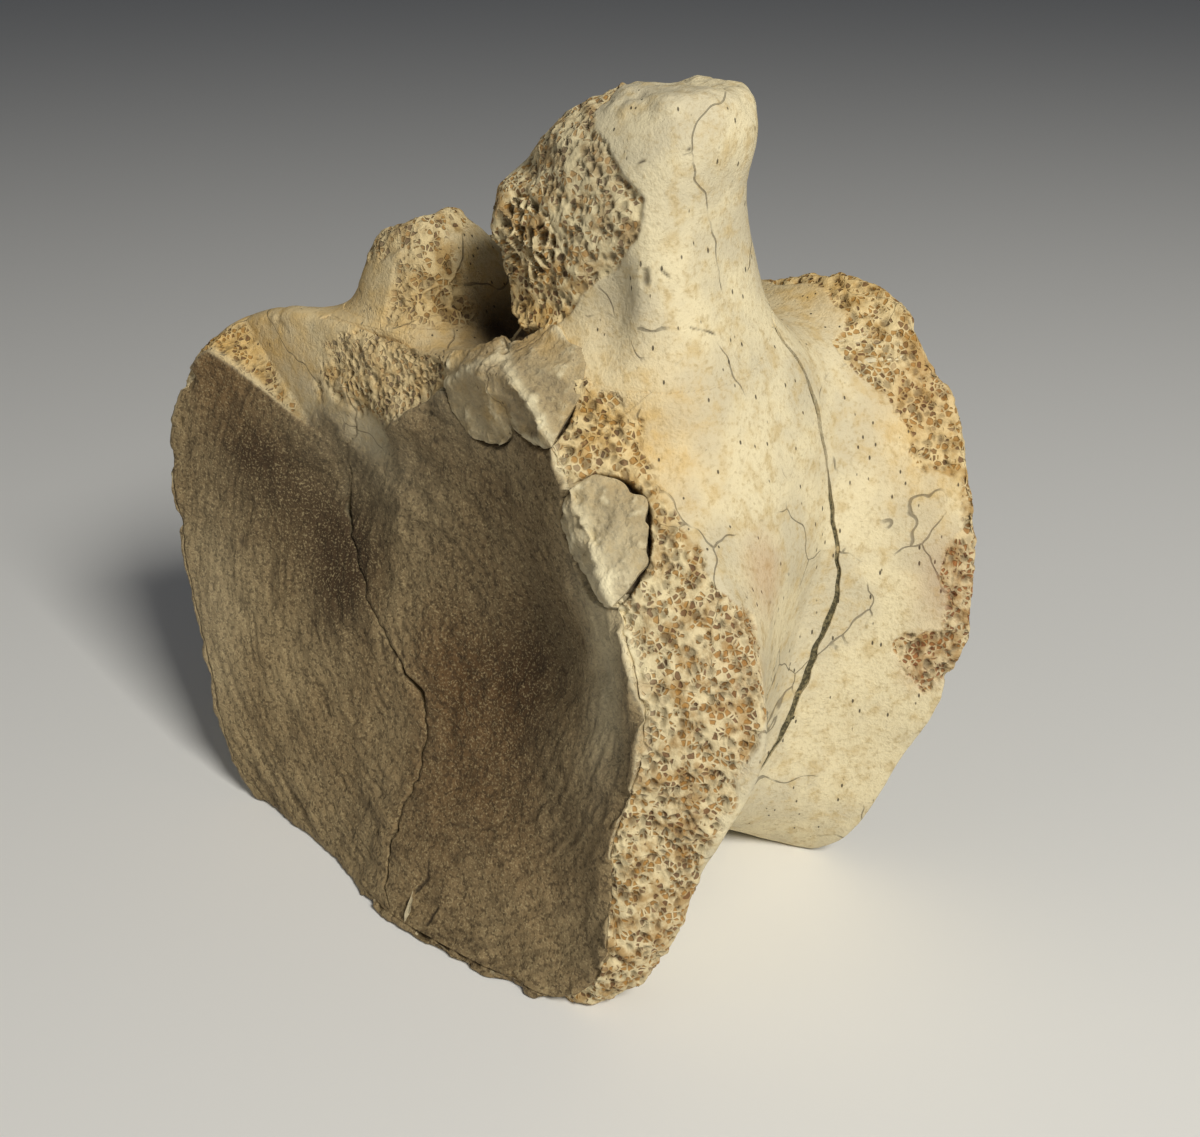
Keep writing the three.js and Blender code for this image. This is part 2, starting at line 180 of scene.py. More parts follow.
# The main crack of the dished face, from the floor up through the notch, as x and z.
SPLIT = [(5, 0), (3, 2), (0.5, 4), (-1, 8), (-2, 13), (-1, 19), (-0.5, 24), (-1, 29), (-3.5, 36), (-9, 39),
         (-14, 43), (-19, 47), (-24, 52), (-27, 56), (-30, 60), (-32, 64), (-30, 72), (-27, 82), (-24, 95)]

# Two loose plates of the near rim, as outlines seen from the front, and how deep their beds are.
BED_DEPTH = 2.2
FLAKE_UPPER = [(1, 90), (6, 86), (17, 90), (28, 90.5), (29, 96), (14, 104), (0, 101)]
FLAKE_SIDE = [(31.5, 83), (33.5, 73), (37, 69.5), (43, 69), (45.5, 74), (44, 80), (40, 85), (35, 87)]

# Rays leave from here, the middle of the spool.
CORE = np.array([0.0, 32.0, AXIS_Z])


def ease(value):
    """Smooth step from 0 to 1, flat at both ends."""
    t = np.clip(value, 0, 1)
    return t * t * (3 - 2 * t)


def smooth_min(a, b, k):
    """Smaller of two values, rounded over a width k where they cross."""
    h = np.clip(0.5 + 0.5 * (b - a) / k, 0, 1)
    return b + (a - b) * h - k * h * (1 - h)


def smooth_max(a, b, k):
    """Larger of two values, rounded over a width k where they cross."""
    return -smooth_min(-a, -b, k)


# Radii are read from fine tables, one entry for each small step of the turn.
TURN_STEPS = 4096


def ring_table(radii):
    """A closed smooth curve through radii at even angles: a cubic between each two, by the slopes of both."""
    r = np.asarray(radii, float)
    t = np.arange(TURN_STEPS + 2) / TURN_STEPS * len(r)
    i = t.astype(int)
    f = t - i
    a, b, c, d = (r[(i + k) % len(r)] for k in (-1, 0, 1, 2))
    return 0.5 * (2 * b + (c - a) * f + (2 * a - 5 * b + 4 * c - d) * f**2 + (3 * b - a - 3 * c + d) * f**3)


def turn_of(x, z):
    """Angle about the axis as a place in the tables."""
    return (np.arctan2(z - AXIS_Z, x) / TAU % 1.0) * TURN_STEPS


def read(table, turn):
    """Value of a table between its two nearest entries."""
    i = turn.astype(np.int32)
    f = turn - i
    return table[i] * (1 - f) + table[i + 1] * f


EDGE, RIM, MIDDLE, FAR, SLOPE = map(ring_table, (FACE_EDGE, FRONT_RIM, WAIST, REAR_RIM, BAND_SLOPE))
CURVE_STEP = 0.05


def curve_table(keys, values):
    """A smooth open curve through values at given keys: a cubic between each two, by the slopes of both."""
    k, v = np.asarray(keys, float), np.asarray(values, float)
    rise = np.diff(v) / np.diff(k)
    inner = (rise[1:] * np.diff(k)[:-1] + rise[:-1] * np.diff(k)[1:]) / (np.diff(k)[:-1] + np.diff(k)[1:])
    slope = np.concatenate([rise[:1], inner, rise[-1:]])
    t = np.arange(k[0], k[-1] + CURVE_STEP * 2, CURVE_STEP)
    t = np.minimum(t, k[-1])
    i = np.clip(np.searchsorted(k, t, side="right") - 1, 0, len(k) - 2)
    h = k[i + 1] - k[i]
    f = (t - k[i]) / h
    return (v[i] * (1 + 2 * f) * (1 - f) ** 2 + slope[i] * h * f * (1 - f) ** 2
            + v[i + 1] * f * f * (3 - 2 * f) + slope[i + 1] * h * f * f * (f - 1))


# The four limits of a pedicle's section.
LIMITS = ("left", "right", "front", "back")


def pedicle_tables(pedicle):
    """Section limits of a pedicle as tables by height."""
    return {side: curve_table(pedicle["z"], pedicle[side]) for side in LIMITS}


TABLES_RIGHT = pedicle_tables(PEDICLE_RIGHT)
TABLES_LEFT = pedicle_tables(PEDICLE_LEFT)


def limits_at(pedicle, tables, z):
    """Left, right, front and back limits of a pedicle's section at given heights."""
    low, high = pedicle["z"][0], pedicle["z"][-1]
    t = (np.clip(z, low, high) - low) / CURVE_STEP
    i = t.astype(np.int32)
    f = t - i
    return [tables[side][i] * (1 - f) + tables[side][i + 1] * f for side in LIMITS]


def front_y(x, z):
    """Surface of the near rim: leaning back with height, bowed back to the sides and more at the lip."""
    square = (x - BOW_X) ** 2
    lip = LIP_BOW * np.exp(-np.maximum(z, 0) / LIP_HEIGHT) / (1 + square / LIP_REACH**2)
    return FRONT_LEAN * (z - LEVEL_Z) + (BOW + lip) * square


def rear_y(z):
    """Surface of the far rim, leaning back with height."""
    return LENGTH + REAR_LEAN * (z - LEVEL_Z)


def side_radius(turn, share):
    """Radius of the spool's side: the waist, rising to either rim as a power of the distance from it."""
    near = np.clip((WAIST_SHARE - share) / (WAIST_SHARE - FRONT_SHARE), 0, 1) ** FRONT_FLARE
    far = np.clip((share - WAIST_SHARE) / (REAR_SHARE - WAIST_SHARE), 0, 1) ** REAR_FLARE
    waist = read(MIDDLE, turn)
    return waist + (read(RIM, turn) - waist) * near + (read(FAR, turn) - waist) * far


def dish_depth(x, z, rho, edge):
    """Depth of the near dish: a bowl that ends at the face edge, with a few deeper dimples."""
    share = rho / edge
    depth = FRONT_DISH * np.clip(1 - share**2, 0, 1) ** BOWL_POWER
    inner = np.clip(1 - share**4, 0, 1)
    for dx, dz, width, deep in DIMPLES:
        depth = depth + deep * np.exp(-((x - dx) ** 2 + (z - dz) ** 2) / width**2) * inner
    return depth


def break_depth(x, z, rho, edge, turn):
    """Depth of the broken band beyond the face edge, or of the wedge broken out over the notch."""
    band = read(SLOPE, turn) * (rho - edge)
    left, right = (math.sin(wall) * (x - NOTCH_X) + math.cos(wall) * (z - NOTCH_Z)
                   for wall in (NOTCH_LEFT, NOTCH_RIGHT))
    inside = smooth_min(left, right, 5) + 1
    wedge = (NOTCH_DEPTH - NOTCH_FALL * (z - NOTCH_Z)) * np.clip(inside / NOTCH_EDGE, -3, 1)
    return smooth_max(band, wedge, 1)


def end_depth(x, z, rho, turn):
    """Depth of the near end behind its rim's surface: the dish or the break, whichever is deeper."""
    edge = read(EDGE, turn)
    return smooth_max(dish_depth(x, z, rho, edge), break_depth(x, z, rho, edge, turn), BREAK_ROUND)


def front_depth(x, z):
    """Depth of the near end at a place seen from the front."""
    return end_depth(x, z, np.hypot(x, z - AXIS_Z), turn_of(x, z))


def rear_hollow(rho, rear_edge):
    """Depth of the far dish at a distance from the axis: a bowl that ends at its edge."""
    return REAR_DISH * np.clip(1 - (rho / rear_edge) ** 2, 0, 1)


def centrum_field(x, y, z):
    """Below zero inside the spool: its side, near end and far end, rounded where they meet."""
    turn = turn_of(x, z)
    rho = np.hypot(x, z - AXIS_Z)
    near, far = front_y(x, z), rear_y(z)
    side = (rho - side_radius(turn, (y - near) / (far - near))) * SIDE_SCALE
    face = (near + end_depth(x, z, rho, turn) - y) * FACE_SCALE
    rear_edge = read(FAR, turn) * REAR_EDGE
    hollow = smooth_max(rear_hollow(rho, rear_edge), REAR_BEVEL * (rho - rear_edge), FACE_ROUND)
    back = (y - far + hollow) * SIDE_SCALE
    return smooth_max(smooth_max(side, face, FACE_ROUND), back, REAR_ROUND)


def pedicle_field(pedicle, tables, x, y, z):
    """Below zero inside a pedicle: a rounded box whose four sides follow curves by height."""
    left, right, front, back = limits_at(pedicle, tables, z)
    half_x, half_y = (right - left) / 2, (back - front) / 2
    power = pedicle["power"]
    across = np.abs((x - (left + right) / 2) / half_x) ** power
    along = np.abs((y - (front + back) / 2) / half_y) ** power
    side = ((across + along) ** (1 / power) - 1) * np.minimum(half_x, half_y)
    height, slope_x, slope_y = pedicle["top"]
    top = z - (height + slope_x * x + slope_y * y)
    return smooth_max(smooth_max(side, top, TOP_ROUND), PEDICLE_ROOT - z, ROOT_ROUND)


def far_from(p, middle, half):
    """Square of the distance from a middle, measured in half sizes along each axis."""
    return sum(((p[k] - middle[k]) / half[k]) ** 2 for k in range(3))


def near_to(p, middle, half):
    """Falls from 1 at the middle by the square of the distance, measured in half sizes."""
    return np.exp(-far_from(p, middle, half))


def bone_field(p):
    """Below zero inside the bone: the spool, both pedicles blended in, and the broad swells and hollows."""
    value = centrum_field(*p)
    high = np.flatnonzero(p[2] > PEDICLE_ROOT - BLEND_REACH)
    if len(high):
        joined = value[high]
        for pedicle, tables in ((PEDICLE_RIGHT, TABLES_RIGHT), (PEDICLE_LEFT, TABLES_LEFT)):
            joined = smooth_min(joined, pedicle_field(pedicle, tables, *p[:, high]), pedicle["blend"])
        value[high] = joined
    for middle, half, rise in FORMS:
        value = value - rise * near_to(p, middle, half)
    return smooth_max(value, -p[2], SEAT_ROUND)


def crack_y(x, z):
    """Where the crack through the centrum runs: a bow in height, with a small wander and jagged steps."""
    shape = np.shape(x)
    p = np.array([np.ravel(x), np.zeros(np.size(x)), np.ravel(z)])
    wander = CRACK_WAVE * np.sin(z / CRACK_PITCH * math.pi + x / CRACK_PITCH)
    jags = (0.5 * noise(p, 6.0, seed=81) + 0.3 * noise(p, 2.3, seed=82)).reshape(shape)
    return CRACK_Y - CRACK_BEND * (z - CRACK_Z) ** 2 + wander + jags


def seat_z(y):
    """Height of the joint under the pedicles, which rises towards either rim."""
    front, front_run, front_rise = SEAT_FRONT
    rear, rear_run, rear_rise = SEAT_REAR
    return SEAT_Z + front_rise * ease((front - y) / front_run) + rear_rise * ease((y - rear) / rear_run)


BLOCK = 20000


def by_blocks(function, points, *more):
    """Runs a function on slices of long arrays, on all cores, and joins what comes back."""
    count = max(1, points.shape[-1] // BLOCK)
    slices = [np.array_split(a, count, axis=-1) for a in (points, *more)]
    with ThreadPoolExecutor() as pool:
        return np.concatenate(list(pool.map(function, *slices)), axis=-1)


def mixed_bits(ix, iy, iz, seed):
    """A repeatable number from 0 to 1 for each whole-number point, by multiplying and folding its bits."""
    with np.errstate(over="ignore"):
        h = ix.astype(np.uint32) * np.uint32(73856093)
        h ^= iy.astype(np.uint32) * np.uint32(19349663)
        h ^= iz.astype(np.uint32) * np.uint32(83492791)
        h ^= np.uint32((seed * 2654435761) & 0xFFFFFFFF)
        h ^= h >> np.uint32(15)
        h *= np.uint32(0x2C1B3C6D)
        h ^= h >> np.uint32(12)
        h *= np.uint32(0x297A2D39)
        h ^= h >> np.uint32(15)
    return h.astype(np.float32) * np.float32(2.0**-32)


def noise(p, size, seed=0):
    """Smooth random field from -1 to 1: numbers on a lattice of this cell size, eased between its points."""
    q = p / size
    cell = np.floor(q).astype(np.int64)
    f = (q - cell).astype(np.float32)
    f = f * f * (3 - 2 * f)
    total = 0
    for corner in range(8):
        dx, dy, dz = corner & 1, corner >> 1 & 1, corner >> 2 & 1
        weight = ((f[0] if dx else 1 - f[0]) * (f[1] if dy else 1 - f[1]) * (f[2] if dz else 1 - f[2]))
        total = total + weight * mixed_bits(cell[0] + dx, cell[1] + dy, cell[2] + dz, seed)
    return total * 2 - 1


def layered(p, size, octaves, seed=0):
    """Noise added to itself at half the size and height, a few times over."""
    total, height = 0, 1.0
    for k in range(octaves):
        total = total + height * noise(p, size / 2**k, seed + k * 17)
        height *= 0.5
    return total / (2 - 2 * height)


def cells(p, size, seed=0):
    """Distances to the nearest and second of points scattered one to a cell, and the nearest one's number."""
    q = p / size
    cell = np.floor(q).astype(np.int64)
    first = np.full(q.shape[1], 9.0, np.float32)
    second = first.copy()
    number = np.zeros(q.shape[1], np.float32)
    for k in range(27):
        ix, iy, iz = cell[0] + k % 3 - 1, cell[1] + k // 3 % 3 - 1, cell[2] + k // 9 - 1
        ox = mixed_bits(ix, iy, iz, seed)
        oy = mixed_bits(ix, iy, iz, seed + 101)
        oz = mixed_bits(ix, iy, iz, seed + 202)
        d = np.sqrt((ix + ox - q[0]) ** 2 + (iy + oy - q[1]) ** 2 + (iz + oz - q[2]) ** 2).astype(np.float32)
        nearer = d < first
        second = np.where(nearer, first, np.minimum(second, d))
        number = np.where(nearer, ox, number)
        first = np.where(nearer, d, first)
    return first, second, number


def distance_to(p, route):
    """Distance from each point to a route of straight legs, in three dimensions."""
    best = np.full(p.shape[1], 1e9)
    for a, b in zip(route[:-1], route[1:]):
        a, b = np.asarray(a, float)[:, None], np.asarray(b, float)[:, None]
        leg = b - a
        t = np.clip(((p - a) * leg).sum(0) / (leg * leg).sum(), 0, 1)
        best = np.minimum(best, np.sqrt(((p - a - leg * t) ** 2).sum(0)))
    return best


def outline_reach(outline, x, z):
    """Distance from the middle of an outline and how far the outline reaches at that angle."""
    points = np.asarray(outline, float)
    middle = points.mean(0)
    turn = np.arctan2(points[:, 1] - middle[1], points[:, 0] - middle[0])
    size = np.hypot(points[:, 0] - middle[0], points[:, 1] - middle[1])
    reach = np.interp(np.arctan2(z - middle[1], x - middle[0]), turn, size, period=TAU)
    return np.hypot(x - middle[0], z - middle[1]), reach


def slope_of(p):
    """Direction in which the bone's field rises, which points straight out of the surface."""
    step = 0.25
    out = []
    for k in range(3):
        shift = np.zeros((3, 1))
        shift[k] = step
        out.append(bone_field(p + shift) - bone_field(p - shift))
    out = np.array(out)
    return out / (np.linalg.norm(out, axis=0) + 1e-9)


def halve(field, p, d, low, high, rounds):
    """Narrows the span along each ray in which it leaves a field, by looking at its middle each time."""
    for _ in range(rounds):
        middle = (low + high) / 2
        inside = field(p + d * middle) < 0
        low = np.where(inside, middle, low)
        high = np.where(inside, high, middle)
    return low, high


def settle(start, toward, reach):
    """Points on the bone's surface, by halving a span either side of a guess along each ray."""
    def work(p, d):
        span = np.full(p.shape[1], reach)
        low, high = halve(bone_field, p, d, -span, span, 13)
        return p + d * (low + high) / 2
    return by_blocks(work, start, toward)


def onto_bone(x, y, z, reach):
    """Places of the bone's surface on the lines from the core through given points."""
    guess = np.array([x, y, z])
    toward = guess - CORE[:, None]
    return settle(guess, toward / np.linalg.norm(toward, axis=0), reach)


# Places where the inside of the far rim shows: the middle and the half sizes.
BROKEN = [
    ((54, 67, 96), (14, 8, 11)),
    ((64, 66, 84), (8, 8, 13)),
    ((73, 65, 62), (6, 6, 10)),
    ((67, 60, 45), (6, 5, 6)),
    ((74, 62, 74), (5, 6, 7)),
]

# How far the edges of the spongy patches wander.
FRINGE = 3.2

# How far the far rim is worn back all round, at even angles, and how far the near band reaches: narrow low on
# the left side, and by height elsewhere.
WORN = [8, 6.5, 9, 5, 2.5, 2.5, 1.5, 1.5, 1.5, 1.5, 2, 2, 2, 2, 2, 2]
NARROW_BAND = 3.0
BAND_HEIGHT = [0, 36, 46, 53, 60, 67, 73, 79, 86, 93, 100]
BAND_BACK = [6, 7, 8, 10, 15, 20, 14, 14, 15, 16, 13]

# Right bound of the broken front of the tall pedicle, by height, and how far back the break shows.
FRONT_HEIGHT = [101, 106, 112, 116, 121, 127, 130, 134, 138]
FRONT_BOUND = [15, 22, 27, 31.5, 35.5, 36, 33, 30, 24]
BREAK_THICKNESS = 6.0

# Fine cracks and pits of the cortex: a route, its half width and its depth.
SCORES = [
    ([(35, 19, 132), (41, 23, 134), (42, 33, 138)], 0.22, 0.25),
    ([(37, 18, 120), (38, 19, 118.5)], 0.35, 0.4),
    ([(38.5, 19, 117.5), (39.5, 21, 115.5)], 0.3, 0.4),
    ([(37, 18, 116.5), (37, 18, 115)], 0.8, 0.9),
    ([(42, 23, 108), (43, 26, 107), (44, 28, 106)], 0.2, 0.2),
    ([(36, 19, 109), (39, 21, 106), (40, 23, 103)], 0.2, 0.2),
]

# Short cracks of the dished face, seen from the front as x and z.
FACE_SCORES = [
    ([(-33, 62), (-29, 58), (-28, 54)], 0.35, 0.6),
    ([(-31, 56), (-36, 51)], 0.2, 0.3),
    ([(6, 4), (9, 9), (8, 13)], 0.2, 0.25),
    ([(12, 3), (14, 8)], 0.18, 0.2),
    ([(-14, 6), (-12, 12)], 0.18, 0.2),
    ([(5, 88), (7, 80), (6, 74)], 0.2, 0.25),
]

# Tones of the surface: real stains and films, and also painted shade and painted light, each as the mark, its
# middle, its half sizes and its strength.
TONES = [
    # Painted shade: these darken the face's hollows and steep walls, where the side light leaves it dark; the
    # fourth also deepens a real brown streak.
    ("shade", (-27, 8, 53), (10, 20, 14), 1.5),
    ("shade", (-46, 8, 66), (18, 20, 17), 1.1),
    ("shade", (20, 8, 48), (12, 20, 18), 1.2),
    ("shade", (3, 8, 42), (9, 20, 14), 0.9),
    ("shade", (14, 2, 24), (14, 20, 14), 0.7),
    ("shade", (4, 8, 78), (18, 16, 12), 0.45),
    ("warm", (10, 6, 30), (14, 20, 20), 0.85),
    ("warm", (-2, 6, 42), (8, 20, 10), 0.6),
    ("warm", (30, 0, 18), (9, 20, 8), 0.5),
    ("warm", (-24, 26, 98), (30, 26, 16), 0.95),
    ("warm", (-58, 10, 85), (14, 12, 12), 0.9),
    ("warm", (38, 68, 106), (16, 12, 7), 0.7),
    ("warm", (14, 16, 104), (12, 6, 8), 0.65),
    ("warm", (40, 16, 88), (10, 9, 16), 0.45),
    ("warm", (62, 64, 88), (12, 8, 16), 0.55),
    ("warm", (20, 14, 93), (18, 8, 7), 0.5),
    ("rust", (54, 26, 70), (6, 7, 9), 0.75),
    ("rust", (58, 14, 58), (10, 8, 14), 0.45),
    ("rust", (52, 8, 40), (12, 9, 16), 0.40),
    ("rust", (46, 4, 14), (14, 10, 12), 0.45),
    ("rust", (68, 62, 60), (9, 8, 12), 0.65),
    ("rust", (66, 60, 44), (6, 6, 6), 0.6),
    ("rust", (60, 64, 92), (8, 8, 10), 0.35),
    ("grey", (24, 18, 134), (14, 8, 7), 0.5),
    ("grey", (30, 17, 122), (8, 8, 9), 0.4),
    ("grey", (-22, 13, 76), (14, 6, 10), 0.5),
    ("grey", (-20, 20, 108), (8, 10, 10), 0.6),
    ("grey", (6, 14, 92), (14, 8, 8), 0.45),
    # Painted shadow in the canal beside the tall pedicle and on the right of the stub, and painted shade in
    # the recess of the tall pedicle's broken front.
    ("shade", (-3, 34, 98), (7, 16, 8), 1.3),
    ("shade", (-5, 20, 104), (5, 7, 9), 0.15),
    ("shade", (31, 14, 112), (3.5, 5, 5), 0.9),
    # The first two pale marks are painted light on the right lip of the face, where the convex rim catches
    # the key; the third is painted light brightening the saddle.
    ("pale", (42, 5, 56), (6, 10, 16), 0.45),
    ("pale", (38, 5, 74), (7, 10, 12), 0.25),
    ("pale", (-28, 18, 95), (18, 12, 6), 0.45),
    ("pale", (-60, 8, 30), (10, 12, 22), 0.2),
]

# Terrains of the surface, as noises with their cell in millimetres, octaves, seed and height.
BREAK_TERRAIN = [(3.2, 4, 21, 0.95), (9.0, 3, 31, 1.0)]
CRUST_TERRAIN = [(0.9, 1, 43, 0.12), (4.5, 3, 45, 0.8)]
CORTEX_TERRAIN = [(16.0, 3, 53, 0.5), (2.6, 1, 55, 0.07), (0.9, 1, 57, 0.05)]
PLATE_TERRAIN = [(2.0, 4, 69, 0.8), (6.0, 2, 70, 0.6)]

# Where large pores open, as the middle and half sizes, and how pores are drawn out along the height.
LARGE_PORES = ((12, 17, 118), (9.5, 9, 8.0))
STUB_PORES = ((-6, 22, 106), (9, 12, 11))
PORE_STRETCH = np.array([[1], [1], [0.8]])

# The sizes set on the scene, in millimetres.
MEASURES = {}


def spongy_mask(p, rough):
    """How far the spongy inside shows: on the band round the face, in the notch, and on the broken ends.

    Each place is a product of eased limits, whose edges wander with the roughness, and the largest counts.
    """
    x, y, z = p
    turn = turn_of(x, z)
    rho = np.hypot(x, z - AXIS_Z)
    edge = read(EDGE, turn)
    near = front_y(x, z)
    fringe = rough * FRINGE
    band = break_depth(x, z, rho, edge, turn) - dish_depth(x, z, rho, edge)
    low_left = (x < -30) & (z < 74)
    back = np.where(low_left, near + NARROW_BAND, np.interp(z, BAND_HEIGHT, BAND_BACK))
    mask = ease((band + 0.4 + fringe * 0.25) / 0.8) * ease((back + fringe - y) / 1.0)
    for middle, half in BROKEN:
        mask = np.maximum(mask, ease((1.05 + rough * 1.1 - np.sqrt(far_from(p, middle, half))) / 0.12))
    far_band = y - rear_y(z) + read(WORN_BACK, turn) + fringe * 0.7
    mask = np.maximum(mask, ease(far_band) * ease((rho - read(FAR, turn) * 0.93) / 1.5 + fringe * 0.3))
    bound = np.interp(z, FRONT_HEIGHT, FRONT_BOUND)
    front = limits_at(PEDICLE_RIGHT, TABLES_RIGHT, z)[2]
    face = ease((front + BREAK_THICKNESS + fringe * 0.5 - y) / 1.0) * ease((bound - x + fringe * 0.5) / 0.8)
    mask = np.maximum(mask, face * ease((z - FRONT_HEIGHT[0] - fringe * 0.5) / 2) * ease((x - 1) / 2))
    tall = ease((z - SEAT_Z - 0.5 + fringe * 0.4) / 2)
    stub = ease((x + 17 - 0.3 * (y - 20) + fringe * 0.6) / 1.2) * ease((2 - x) / 2) * ease((28 - y) / 3)
    top = ease((z - (109 + 0.5 * (x + 21)) + fringe * 0.5) / 1.2) * ease((-2 - x) / 3)
    return np.maximum(mask, np.maximum(stub, top) * tall)


def face_mask(p):
    """How far a point lies on the crust of the dished near face: close behind it, and inside its edge."""
    x, y, z = p
    turn = turn_of(x, z)
    rho = np.hypot(x, z - AXIS_Z)
    edge = read(EDGE, turn)
    behind = y - front_y(x, z) - dish_depth(x, z, rho, edge)
    return ease((2.0 - behind) / 1.5) * ease((edge + 1 - rho) / 1.0)


def pocket_depth(p):
    """Depth of the bed under each loose plate of the rim, which shows as a dark crack round it."""
    x, y, z = p
    depth = np.zeros(p.shape[1])
    rows = np.flatnonzero((z > 66) & (y < 24))
    if len(rows):
        px, pz = x[rows], z[rows]
        wander = noise(p[:, rows], 4.0, seed=91) * 0.3
        for outline in (FLAKE_UPPER, FLAKE_SIDE):
            away, reach = outline_reach(outline, px, pz)
            depth[rows] = np.maximum(depth[rows], ease((reach + MEASURES["plate_gap"] + wander - away) / 0.4))
    return depth * BED_DEPTH


def terrain(p, layers):
    """Sum of layered noises, each given by its cell in millimetres, its octaves, its seed and its height."""
    return sum(height * layered(p, size, octaves, seed) for size, octaves, seed, height in layers)


def spongy_relief(p, sponge):
    """Spongy bone: how open each pore is, and the height of its thin walls over a ragged break.

    A pore is open where the second nearest of scattered points is much further than the nearest. On the
    broken front of the tall pedicle, and less so on the stub, far larger pores take over.
    """
    pore = np.zeros(p.shape[1])
    large = ease((near_to(p, *LARGE_PORES) - 0.35) / 0.15)
    stub = near_to(p, *STUB_PORES)
    rows = np.flatnonzero(sponge > 0.02)
    if len(rows):
        first, second, number = cells(p[:, rows] * PORE_STRETCH, MEASURES["pore"] * 1.3, seed=5)
        pore[rows] = ease((second - first) / 0.42) * ease((number - 0.3) / 0.2)
        wide = rows[(large + stub)[rows] > 0.05]
        if len(wide):
            first, second, number = cells(p[:, wide], MEASURES["large_pore"], seed=9)
            open_wide = ease((second - first - 0.06) / 0.16) * ease((number - 0.12) / 0.15)
            share = np.clip(large[wide] + ease(stub[wide] * 1.5) * 0.6, 0, 1)
            pore[wide] = pore[wide] * (1 - share) * 0.6 + share * open_wide
    return pore, -pore * (0.6 + 1.3 * large + 0.8 * stub) + terrain(p, BREAK_TERRAIN) - 0.2


def fine_cracks(p, at_front):
    """How much a point lies in a fine crack, and how far it sinks: all on its route, easing out beside it."""
    line, sunk = np.zeros(p.shape[1]), np.zeros(p.shape[1])
    on_side, on_face = noise(p, 1.5, seed=67) * 0.12, noise(p, 1.8, seed=68) * 0.3
    for route, width, deep in SCORES:
        mark = ease(1.3 - (distance_to(p, route) + on_side) / width)
        line, sunk = np.maximum(line, mark), sunk + deep * mark
    flat = p * np.array([[1], [0], [1]])
    for route, width, deep in FACE_SCORES:
        away = distance_to(flat, [(a, 0, b) for a, b in route]) + on_face
        mark = ease(1.4 - away / width) * at_front
        line, sunk = np.maximum(line, mark), sunk + deep * mark
    return line, sunk


def relief(p, plate=False):
    """Height of the surface detail along the normal in millimetres, then the marks that the finishes read.

    Cortex, crust and spongy bone each have a terrain of their own, and are mixed by how far each one shows.
    """
    x, y, z = p
    rough = layered(p, 7.0, 4, seed=3)
    sponge = np.zeros(len(x)) if plate else spongy_mask(p, rough)
    crust = (np.clip(0.55 + 0.5 * rough, 0, 1) if plate else face_mask(p)) * (1 - sponge)
    rho, turn = np.hypot(x, z - AXIS_Z), turn_of(x, z)
    edge = read(EDGE, turn)
    pore, height_spongy = spongy_relief(p, sponge)
    # Crust of the face: fibres that run round with the rim, over shallow swells and small grains.
    fibre = layered(np.array([rho / 0.95, turn / TURN_STEPS * 56.0, y / 9.0]), 1.0, 3, seed=41)
    swell = layered(p, 14.0, 3, seed=47)
    height_crust = fibre * 0.38 + swell * 1.1 + terrain(p, CRUST_TERRAIN)
    if plate:
        height = terrain(p, PLATE_TERRAIN)
    else:
        height_cortex = terrain(p, CORTEX_TERRAIN) * (1 - sponge) * (1 - crust)
        height = height_cortex + height_crust * crust + height_spongy * sponge
    marks = {label: np.zeros(len(x)) for label in MARKS}
    for label, middle, half, strength in TONES:
        marks[label] += strength * near_to(p, middle, half)
    # Nicks along the edge of the face, and the broken top of the tall pedicle.
    at_front = ease((front_y(x, z) + 8 - y) / 4)
    nicks = ease((layered(p, 4.0, 3, seed=63) - 0.02) / 0.3) * np.exp(-((rho - edge) / 2.2) ** 2) * at_front
    height = height - nicks * 1.5
    if not plate:
        bed = pocket_depth(p)
        height = height + ease((z - 136) / 4) * (layered(p, 6.0, 3, seed=65) * 1.6 - 0.5) - bed
        # Painted shade in the crack round each loose plate, over the bed that already sinks there.
        marks["shade"] += ease(bed / 2.0) * 1.2
    marks["line"], sunk = fine_cracks(p, at_front)
    height = height - sunk
    marks["sponge"], marks["pore"], marks["crust"] = sponge, pore * sponge, crust
    marks["fibre"] = 0.5 + 0.5 * fibre
    # Painted shade: the shade mark grows in the low parts of the swells on the crust of the face.
    marks["shade"] = marks["shade"] * (0.8 + 0.5 * swell) + np.clip(-swell, 0, 1) * 0.35 * crust
    lip = break_depth(x, z, rho, edge, turn) - dish_depth(x, z, rho, edge)
    worn = np.exp(-((lip - 0.2) / 0.9) ** 2) * at_front * ease((z - 40) / 20)
    marks["pale"] += worn * (0.55 + 0.45 * rough)
    if plate:
        marks["grey"] += 0.05 + 0.25 * rough
        marks["pale"] += ease(layered(p, 2.0, 4, seed=69) * 2.2 - 0.3) * 0.7
    rows = [height] + [marks[label] for label in MARKS]
    return np.array([np.broadcast_to(row, x.shape) for row in rows], np.float32)


MARKS = ("sponge", "pore", "crust", "shade", "warm", "rust", "grey", "fibre", "pale", "line")
WORN_BACK = ring_table(WORN)


def edge_loop(rows, columns, closed):
    """Indices of a grid's edge, running once round it, or of its first and last row if it is closed."""
    index = np.arange(rows * columns).reshape(rows, columns)
    if closed:
        return [index[0], index[-1][::-1]]
    return [np.concatenate([index[0], index[1:, -1], index[-1, -2::-1], index[-2:0:-1, 0]])]


